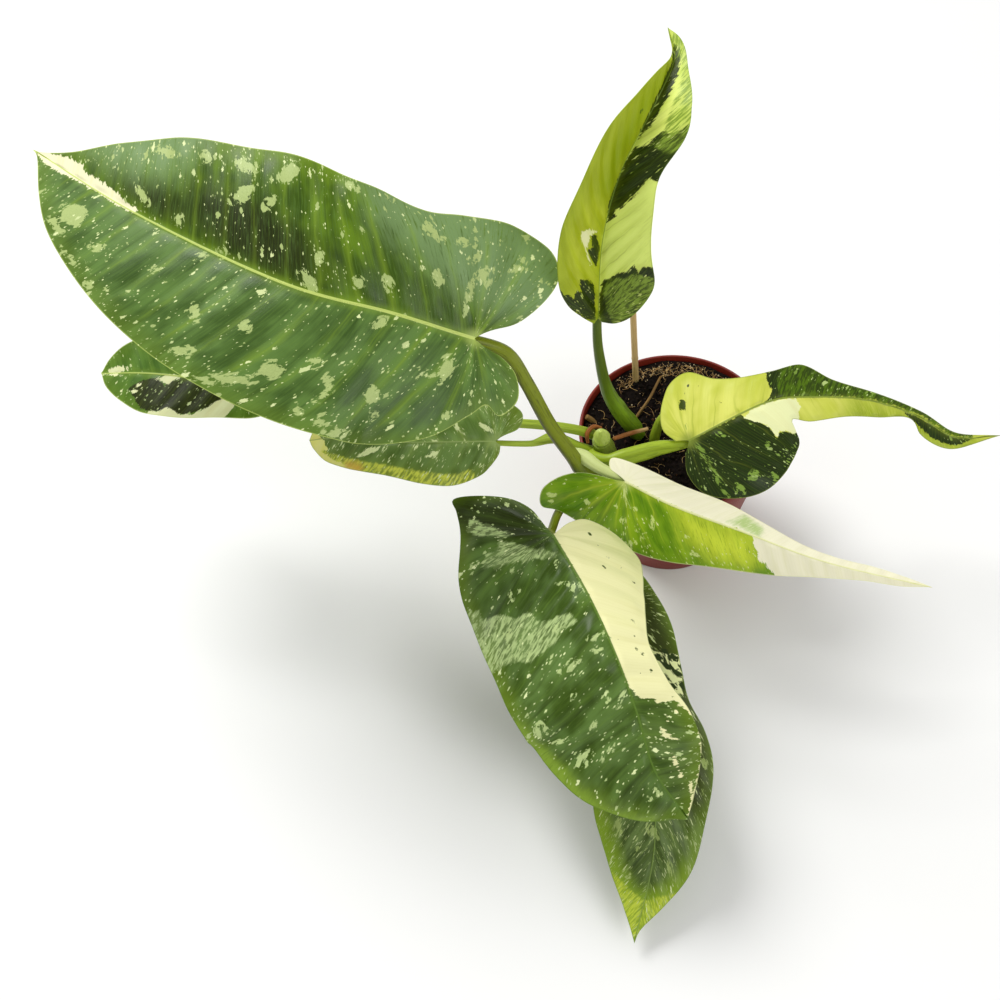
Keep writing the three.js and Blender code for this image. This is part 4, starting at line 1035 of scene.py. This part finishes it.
def buildTube(name, node, shape, material):
    points = shape["points"]
    perSpan = shape.get("steps", 24)
    path = curveThrough([Vector(point[:3]) for point in points], perSpan)
    radii = [point[3] for point in points]
    towards = Vector(shape["side"])
    wing = shape.get("wing")
    ridges, depth = shape.get("ridges", (9, 0.02))
    nodes = shape.get("nodes", [])
    sides = shape.get("sides", 40)
    caps = 6  # rows in each closed end
    rows = len(path) - 1 + 2 * caps
    travelled = [0]
    for a, b in zip(path, path[1:]):
        travelled.append(travelled[-1] + (b - a).length)
    bm = bmesh.new()
    way = bm.verts.layers.float_vector.new("tubeWay")
    grid = bmesh.ops.create_grid(bm, x_segments=sides, y_segments=rows, size=0.5)
    for vertex in grid["verts"]:
        row = round((vertex.co.y + 0.5) * rows)
        angle = -2 * math.pi * (vertex.co.x + 0.5)
        i = within(0, len(path) - 1, row - caps)
        forward = (path[min(i + 1, len(path) - 1)] - path[max(i - 1, 0)]).normalized()
        outward = (towards - forward * towards.dot(forward)).normalized()
        across = forward.cross(outward)
        place = i / perSpan
        radius = valueAt(radii, place)
        for station, swell, width in nodes:
            radius += swell * bell(place - station, width)
        cap = max(caps - row, row - (rows - caps), 0) / caps  # the ends close in a low dome
        dome = math.sqrt(max(1 - cap * cap, 0))
        lift = -1 if row < caps else 1
        reach = radius * (1 + depth * math.cos(ridges * angle))
        if wing:
            near = math.atan2(math.sin(angle), math.cos(angle))
            waved = 1 + 0.05 * math.sin(place * 9)
            reach += valueAt(wing, place) * bell(near, 0.2) * waved
        vertex[way] = Vector((radius * math.cos(angle), radius * math.sin(angle), travelled[i]))
        shallow = radius * shape.get("dome", 0.3) * (1 - math.cos(cap * math.pi / 2))
        centre = path[i] + forward * lift * (shallow if cap else 0)
        vertex.co = (centre + (outward * math.cos(angle) + across * math.sin(angle)) * reach * dome) * mm
    bmesh.ops.remove_doubles(bm, verts=bm.verts[:], dist=0.01 * mm)
    bmesh.ops.recalc_face_normals(bm, faces=bm.faces[:])
    seat(newPiece(name, bm, [material]), node)


stalkLooks = {
    # the olive and leafy stalks get painted shade along their left side
    "olive": {"tones": ["#93a31e", "#808c1c", "#3d3f0a", "#b5bd5a"], "streaks": 0.6, "shadedSide": 0.85},
    "fresh": {"tones": ["#8ea324", "#a3b83a", "#5f7a10", "#c8d67a"], "streaks": 0.45},
    "leafy": {"tones": ["#7da01a", "#55680e", "#38500a", "#b5c858"], "streaks": 0.5, "fade": (60, 110),
              "shadedSide": 0.35},
    "lime": {"tones": ["#9bb02c", "#a5bc2a", "#6a8412", "#d0dc7c"], "streaks": 0.45},
    "pale": {"tones": ["#e6e9c4", "#cdd88c", "#a9bd58", "#f2f3dc"], "streaks": 0.3, "fade": (10, 40)},
}
stalkMaterials = {key: stalkMaterial("fleshy_stalk_" + key, looks) for key, looks in stalkLooks.items()}

stalks = {
    "stalk_large": {
        "blade": "blade_large", "skin": "olive", "slot": "stem", "side": [1, 0, 0], "endRadius": 3.2,
        "points": [[-46, -23, 108, 4.5], [-51, -31, 111, 5], [-61, -42, 122, 4.6], [-68, -43, 140, 4.3],
                   [-81, -41, 170, 4.1], [-93, -40, 208, 3.9], [-103, -40, 234, 3.6]]},
    "stalk_behind_large": {
        "blade": "blade_behind_large", "skin": "fresh", "slot": "stalk", "side": [0, 1, 0],
        "endRadius": 1.8,
        "points": [[-47, -21, 119, 3], [-55, -16, 124, 3], [-79, -17, 136, 2.8], [-129, -15, 146, 2.5],
                   [-208, 4, 148, 2.2]],
        "ridges": (5, 0.09)},
    "stalk_left_low": {
        "blade": "blade_left_low", "skin": "fresh", "slot": "stalk", "side": [0, 1, 0], "endRadius": 1.6,
        "points": [[-46, -22, 112, 2.6], [-59, -25, 121, 2.6], [-76, -28, 136, 2.2], [-92, -35, 144, 1.8]],
        "wing": [0, 1.5, 3.5, 0, 0]},
    "stalk_top": {
        "blade": "blade_top", "skin": "leafy", "slot": "stalk", "side": [0.6, 0.8, 0], "endRadius": 2.4,
        "points": [[-21, 8, 66, 4.6], [-22, 6, 86, 5], [-26, 2, 101, 4.8], [-36, 0, 122, 4.2],
                   [-44, -1, 146, 3.6], [-50, -3, 188, 2.8]],
        "wing": [0, 1, 2, 3, 2, 0, 0]},
    "stalk_right": {
        "blade": "blade_right", "skin": "lime", "slot": "stalk", "side": [0, -0.6, -0.8], "endRadius": 2.2,
        "points": [[-48, -23, 116, 3], [-55, -28, 119, 3.2], [-47, -36, 124, 3.2], [-36, -35, 127, 3.2],
                   [-17, -32, 129, 2.8]],
        "wing": [0, 0, 1, 5, 4, 0]},
    "stalk_front": {
        "blade": "blade_front", "skin": "pale", "slot": "stalk_pale", "side": [0, 0, -1], "endRadius": 2.6,
        "slimmer": [0.5, 0.2],
        "points": [[-48, -24, 113, 4], [-60, -33, 120, 4.4], [-66, -36, 130, 4.8], [-61, -42, 136, 4.4],
                   [-52, -53, 139, 3.4]]},
    "stalk_hanging": {
        "blade": "blade_hanging", "skin": "olive", "slot": "stem", "side": [1, 0, 0], "endRadius": 2.2,
        "rise": 1.2,
        "points": [[-47, -23, 104, 2.8], [-59, -37, 105, 2.8], [-76, -56, 104.5, 2.6], [-83, -76, 113, 2.5],
                   [-86, -89, 129, 2.4], [-86, -94, 140, 2.3]]},
    "stalk_hanging_low": {
        "blade": "blade_hanging_low", "skin": "fresh", "slot": "stalk", "side": [1, 0, 0], "endRadius": 1.8,
        "points": [[-44, -20, 102, 2.4], [-47, -36, 106, 2.4], [-49, -46, 108, 2.4], [-52, -65, 108, 2.4],
                   [-53, -83, 101, 2.3], [-52, -98, 92, 2.2]]},
}
for node, shape in stalks.items():
    surface = blades[shape["blade"]]
    place = surface.alongs.index(0)
    radius = shape["endRadius"]
    below = leafForm["thickness"] + min(2.4, 0.9 + surface.length / 150) + 0.6 + radius
    below -= shape.get("rise", 0)
    end = surface.points[place] - surface.ups[place] * below
    shape["points"].append([*end, radius])
    slimmer = shape.get("slimmer", (0.75, 0.35))
    onwards = ((4.5, 2.0 + 0.7 * radius, slimmer[0]), (12, 1.7, slimmer[1]))
    for along, sunk, share in onwards:  # the stalk runs on into the midrib
        joined, above = surface.pointAt(along, 0, 1)
        shape["points"].append([*(joined - above * sunk), radius * share])
    buildTube(node.replace("stalk", "leaf_stalk"), node, shape, stalkMaterials[shape["skin"]])

stemSkin = stalkMaterial("stem_bark_green", {
    "tones": ["#6d7c28", "#7d8f2a", "#4b5a1a", "#a3a860"], "streaks": 0.6, "bump": 0.25})
budSkin = stalkMaterial("bud_sheath_green", {"tones": ["#b7c95a", "#cfdc82", "#93aa3a", "#e2e9ae"]})
drySkin = stalkMaterial("dry_papery_sheath", {
    "tones": ["#9a5a24", "#7a4720", "#55300f", "#c9975c"], "streaks": 0.8, "gloss": (0.6, 0.8),
    "bump": 0.3})
twigSkin = stalkMaterial("dead_twig_bark", {
    "tones": ["#8f5726", "#c9a56e", "#5f3a18", "#d8b888"], "streaks": 0.6, "gloss": (0.6, 0.8),
    "fade": (16, 26)})
rootSkin = stalkMaterial("dry_root_skin", {
    "tones": ["#8a6a3a", "#755628", "#4f3a18", "#b5955e"], "streaks": 0.6, "gloss": (0.7, 0.85),
    "bump": 0.3})
caneSkin = stalkMaterial("bamboo_cane", {
    "tones": ["#d9bb85", "#cfae74", "#b08a4c", "#efdcb0"], "streaks": 0.5, "gloss": (0.45, 0.6),
    "fade": (0, 150)})

smallTubes = [
    ("main_stem", "stem", stemSkin, {
        "points": [[-40, -16, 60, 5.5], [-41, -17, 84, 6], [-44, -19, 100, 6.4], [-47, -22, 116, 6.6],
                   [-49, -24, 127, 5.6]],
        "side": [1, 0, 0], "nodes": [(1.7, 0.5, 0.08), (2.5, 0.5, 0.08), (3.2, 0.4, 0.08)], "slot": "stem",
        "dome": 0.1}),
    ("growing_bud", "growing_bud", budSkin, {
        "points": [[-49, -24, 127.6, 4.9], [-49, -24, 131, 5.0], [-49.5, -25, 135, 3.4],
                   [-50, -26, 139, 0.8]],
        "side": [1, 0, 0], "slot": "bud", "dome": 0.1, "ridges": (3, 0.03)}),
    ("dry_sheath", "dry_sheath", drySkin, {
        "points": [[-57, -23, 124, 0.9], [-57, -19, 128, 1.4], [-53, -15, 129, 1.4], [-48, -14, 126, 0.8]],
        "side": [0, 0, 1], "slot": "dry_sheath"}),
    ("dry_twig", "dry_twig", twigSkin, {
        "points": [[-41, -21, 124, 1.2], [-30, -13, 117, 1.4], [-19, -7, 112, 1.1]],
        "side": [0, 0, 1], "slot": "dry_sheath"}),
    ("air_root", "air_root", rootSkin, {
        "points": [[-24, 15, 86, 0.9], [-22, 17, 93, 0.9], [-13, 27, 98, 0.9], [-4, 45, 95, 0.8],
                   [-2, 50, 86, 0.8]],
        "side": [1, 0, 0], "slot": "dry_root", "sides": 20}),
    ("dry_stub", "dry_stub", rootSkin, {
        "points": [[-46, 13, 87, 1.8], [-50, 15, 94, 1.9], [-54, 16, 98, 1.7]],
        "side": [1, 0, 0], "slot": "dry_root"}),
    ("side_shoot", "side_shoot", stalkMaterials["fresh"], {
        "points": [[-13, -3, 84, 3], [-13, -2, 96, 3.2], [-10, 1, 108, 2.8], [-5, 4, 118, 1]],
        "side": [1, 0, 0], "slot": "stalk"}),
    ("bamboo_stake", "stake", caneSkin, {
        "points": [[-17, 42.5, 50, 2], [-26, 53, 204, 2]],
        "side": [1, 0, 0], "steps": 160, "nodes": [(0.42, 0.25, 0.006), (0.86, 0.25, 0.006)],
        "slot": "bamboo", "ridges": (7, 0.015), "dome": 0.1}),
]
for name, node, material, shape in smallTubes:
    buildTube(name, node, shape, material)


# The pot: its wall is spun round, and the drain holes are cut through the floor.
pot = {
    "profile": [
        [0, 0], [40.5, 0], [41.6, 0.3], [42, 1.2], [49.5, 45], [57, 90], [57.2, 90.3], [59, 90.6],
        [59.4, 91], [60, 97.8], [59.9, 99.1], [59.6, 99.6], [58.8, 100], [58.2, 99.8], [58, 99.4],
        [57.6, 92], [57.2, 91.2], [55.8, 89.6], [48.3, 45.8], [40.8, 2.2], [40.2, 1.6], [0, 1.6]],
    "steps": 128, "holes": 8, "holeRadius": 4, "circle": 30,
}
potPlastic = plainMaterial("moulded_pot_plastic", {
    "shader": {"IOR": 1.46, "Specular IOR Level": 0.45}, "tones": ["#741c0e", "#822413", "#964029"],
    "patch": 30, "grain": 0.6, "fleck": 1.4, "fleckFrom": 0.72, "gloss": (0.42, 0.55), "bump": 0.04})
bm = bmesh.new()
rim = bmesh.ops.create_circle(bm, segments=len(pot["profile"]), radius=1)["verts"]
for vertex, (radius, height) in zip(rim, pot["profile"]):
    vertex.co = Vector((radius, 0, height)) * mm
closing = [edge for edge in bm.edges if all(vertex.co.x < 0.01 * mm for vertex in edge.verts)]
bmesh.ops.delete(bm, geom=closing, context="EDGES")
bmesh.ops.spin(bm, geom=bm.verts[:] + bm.edges[:], cent=(0, 0, 0), axis=(0, 0, 1), dvec=(0, 0, 0),
               angle=2 * math.pi, steps=pot["steps"], use_merge=True)
bmesh.ops.remove_doubles(bm, verts=bm.verts[:], dist=0.01 * mm)
bmesh.ops.recalc_face_normals(bm, faces=bm.faces[:])
piece = newPiece("nursery_pot", bm, [potPlastic])
bm = bmesh.new()
circle = pot["circle"] * mm
holeRadius = pot["holeRadius"] * mm
for i in range(pot["holes"]):
    angle = 2 * math.pi * i / pot["holes"]
    spot = Matrix.Translation((circle * math.cos(angle), circle * math.sin(angle), 0))
    bmesh.ops.create_cone(bm, cap_ends=True, segments=32, radius1=holeRadius, radius2=holeRadius,
                          depth=8 * mm, matrix=spot)
cutter = newPiece("drain_cutter", bm, [potPlastic])
holes = piece.modifiers.new("drain_holes", "BOOLEAN")
holes.object = cutter
holes.solver = "EXACT"
settle(piece)
bpy.data.objects.remove(cutter)
seat(piece, "pot")


# The soil: its sides follow the pot's wall and step, its top is lumpy and carries crumbs, fibres and grit.
soil = {
    "height": 92.5, "rim": 56.9, "wall": 55.8,
    "heap": 4,  # how much higher it lies at the wall
    "hollow": 5,
    "sides": [[56.9, 92], [55.1, 89.6], [52, 71], [47.9, 45.8], [44, 22], [40.5, 1.9], [0, 1.9]],
    "around": 200, "circles": 76,
}


def soilHeight(x, y):
    reach = math.hypot(x, y)
    nearWall = (reach / soil["wall"]) ** 4
    lumps = 1.1 * math.sin(x / 5.3 + 1) * math.cos(y / 4.7) + 0.7 * math.sin(x / 2.9 - y / 3.4)
    heap = soil["heap"] * nearWall * (0.6 + 0.4 * (0.5 * x + 0.87 * y) / max(reach, 1))
    hollow = soil["hollow"] * math.exp(-((x + 30) / 9) ** 2 - ((y - 24) / 12) ** 2)
    return soil["height"] + lumps * (1 - 0.5 * nearWall) + heap - hollow


soilSkin = plainMaterial("dark_potting_mix", {
    "shader": {"Specular IOR Level": 0.15}, "tones": ["#080402", "#160d08", "#54402a"],
    "patch": 2.2, "grain": 0.6, "fleck": 0.9, "fleckFrom": 0.68, "gloss": (0.85, 1.0), "bump": 0.6})
circles = soil["circles"]
rows = circles + len(soil["sides"])
bm = bmesh.new()
grid = bmesh.ops.create_grid(bm, x_segments=soil["around"], y_segments=rows, size=0.5)
for vertex in grid["verts"]:
    row = round((vertex.co.y + 0.5) * rows)
    angle = 2 * math.pi * (vertex.co.x + 0.5)
    if row <= circles:
        top = row / circles
        radius = soil["rim"] * top
        x, y = radius * math.cos(angle), radius * math.sin(angle)
        grains = noise.fractal(Vector((x / 2.6, y / 2.6, 3.1)), 0.8, 2.1, 5) * 1.3
        clods = abs(noise.noise(Vector((x / 3.7, y / 3.7, 8.4)))) * 2.2 - 0.6
        height = soilHeight(x, y) + (grains + clods) * (1 - top ** 12)
    else:
        radius, height = soil["sides"][row - circles - 1]
    vertex.co = Vector((radius * math.cos(angle), radius * math.sin(angle), height)) * mm
bmesh.ops.remove_doubles(bm, verts=bm.verts[:], dist=0.01 * mm)
bmesh.ops.recalc_face_normals(bm, faces=bm.faces[:])
seat(newPiece("potting_soil", bm, [soilSkin]), "soil")

# Loose bits on the soil: crumbs, bark chips, tan root fibres and pale grit.
soilBits = [  # name, how many, smallest and largest size in mm, colours
    ("peat_crumb", 1100, 0.6, 2.6, ["#0e0805", "#20130c", "#3d2a1c"]),
    ("bark_chip", 200, 0.8, 2.6, ["#2d190f", "#4b2e1a", "#7d5a3a"]),
    ("pale_grit", 260, 0.4, 1.1, ["#a58a62", "#d8c6a0", "#f4ead0"]),
    ("coir_fibre", 460, 3.0, 9.0, ["#a27a44", "#d6b176", "#f2deb0"]),
]
bitReach = 55.5  # the bits keep this far inside the wall
bitSkins = []
for name, _, _, _, tones in soilBits:
    bitSkins.append(plainMaterial(name, {
        "shader": {"Specular IOR Level": 0.25}, "tones": tones, "patch": 2.2, "grain": 0.5, "fleck": 1.1,
        "fleckFrom": 0.6, "gloss": (0.8, 0.95), "bump": 0.2}))


def bitTemplate(kind, skin, chance):
    bm = bmesh.new()
    if kind == "coir_fibre":  # a thin bent thread of unit length
        bmesh.ops.create_cube(bm, size=1, matrix=Matrix.Diagonal((1, 0.022, 0.022, 1)))
        long = [edge for edge in bm.edges if abs(edge.verts[0].co.x - edge.verts[1].co.x) > 0.5]
        bmesh.ops.subdivide_edges(bm, edges=long, cuts=4)
        bow = chance.uniform(0.05, 0.3)
        twist = chance.uniform(-0.2, 0.2)
        for vertex in bm.verts:
            bend = 1 - (2 * vertex.co.x) ** 2
            vertex.co.y += bow * bend
            vertex.co.z += 0.12 * bend + twist * vertex.co.x * bend
    else:
        bmesh.ops.create_icosphere(bm, subdivisions=1, radius=0.5)
        for vertex in bm.verts:
            vertex.co *= chance.uniform(0.7, 1.25)
            vertex.co.z *= 0.7
    for face in bm.faces:
        face.material_index = skin
    mesh = bpy.data.meshes.new(kind)
    bm.to_mesh(mesh)
    bm.free()
    return mesh


chance = random.Random(7)
bm = bmesh.new()
for skin, (name, count, low, high, _) in enumerate(soilBits):
    shapes = [bitTemplate(name, skin, chance) for _ in range(6)]
    for _ in range(count):
        radius = bitReach * math.sqrt(chance.random())
        angle = chance.uniform(0, 2 * math.pi)
        # most fibres and grit lie at the back of the rim
        if name in ("coir_fibre", "pale_grit") and chance.random() < 0.65:
            radius = chance.uniform(47, bitReach)
            angle = chance.uniform(0.0, 2.2)
        x, y = radius * math.cos(angle), radius * math.sin(angle)
        size = mixed(low, high, chance.random() ** 2)
        if radius + size / 2 > bitReach + 1:
            continue
        if size > 2.7:  # a long bit lies nearly flat
            tilt = Matrix.Rotation(chance.uniform(-0.35, 0.35), 4, "Y")
        else:
            tilt = Matrix.Rotation(chance.uniform(0, 3), 4, "X")
        place = Matrix.Translation(Vector((x, y, soilHeight(x, y) + 0.7 + 0.03 * size)) * mm)
        place = place @ Matrix.Rotation(chance.uniform(0, 2 * math.pi), 4, "Z") @ tilt
        thick = size if name != "coir_fibre" else chance.uniform(5, 11)
        place = place @ Matrix.Diagonal((size * mm, min(thick, 1.3 * size) * mm, min(thick, size) * mm, 1))
        shape = chance.choice(shapes)
        shape.transform(place)
        bm.from_mesh(shape)
        shape.transform(place.inverted())
piece = newPiece("soil_bits", bm, bitSkins)
for face in piece.data.polygons:
    face.use_smooth = False
seat(piece)
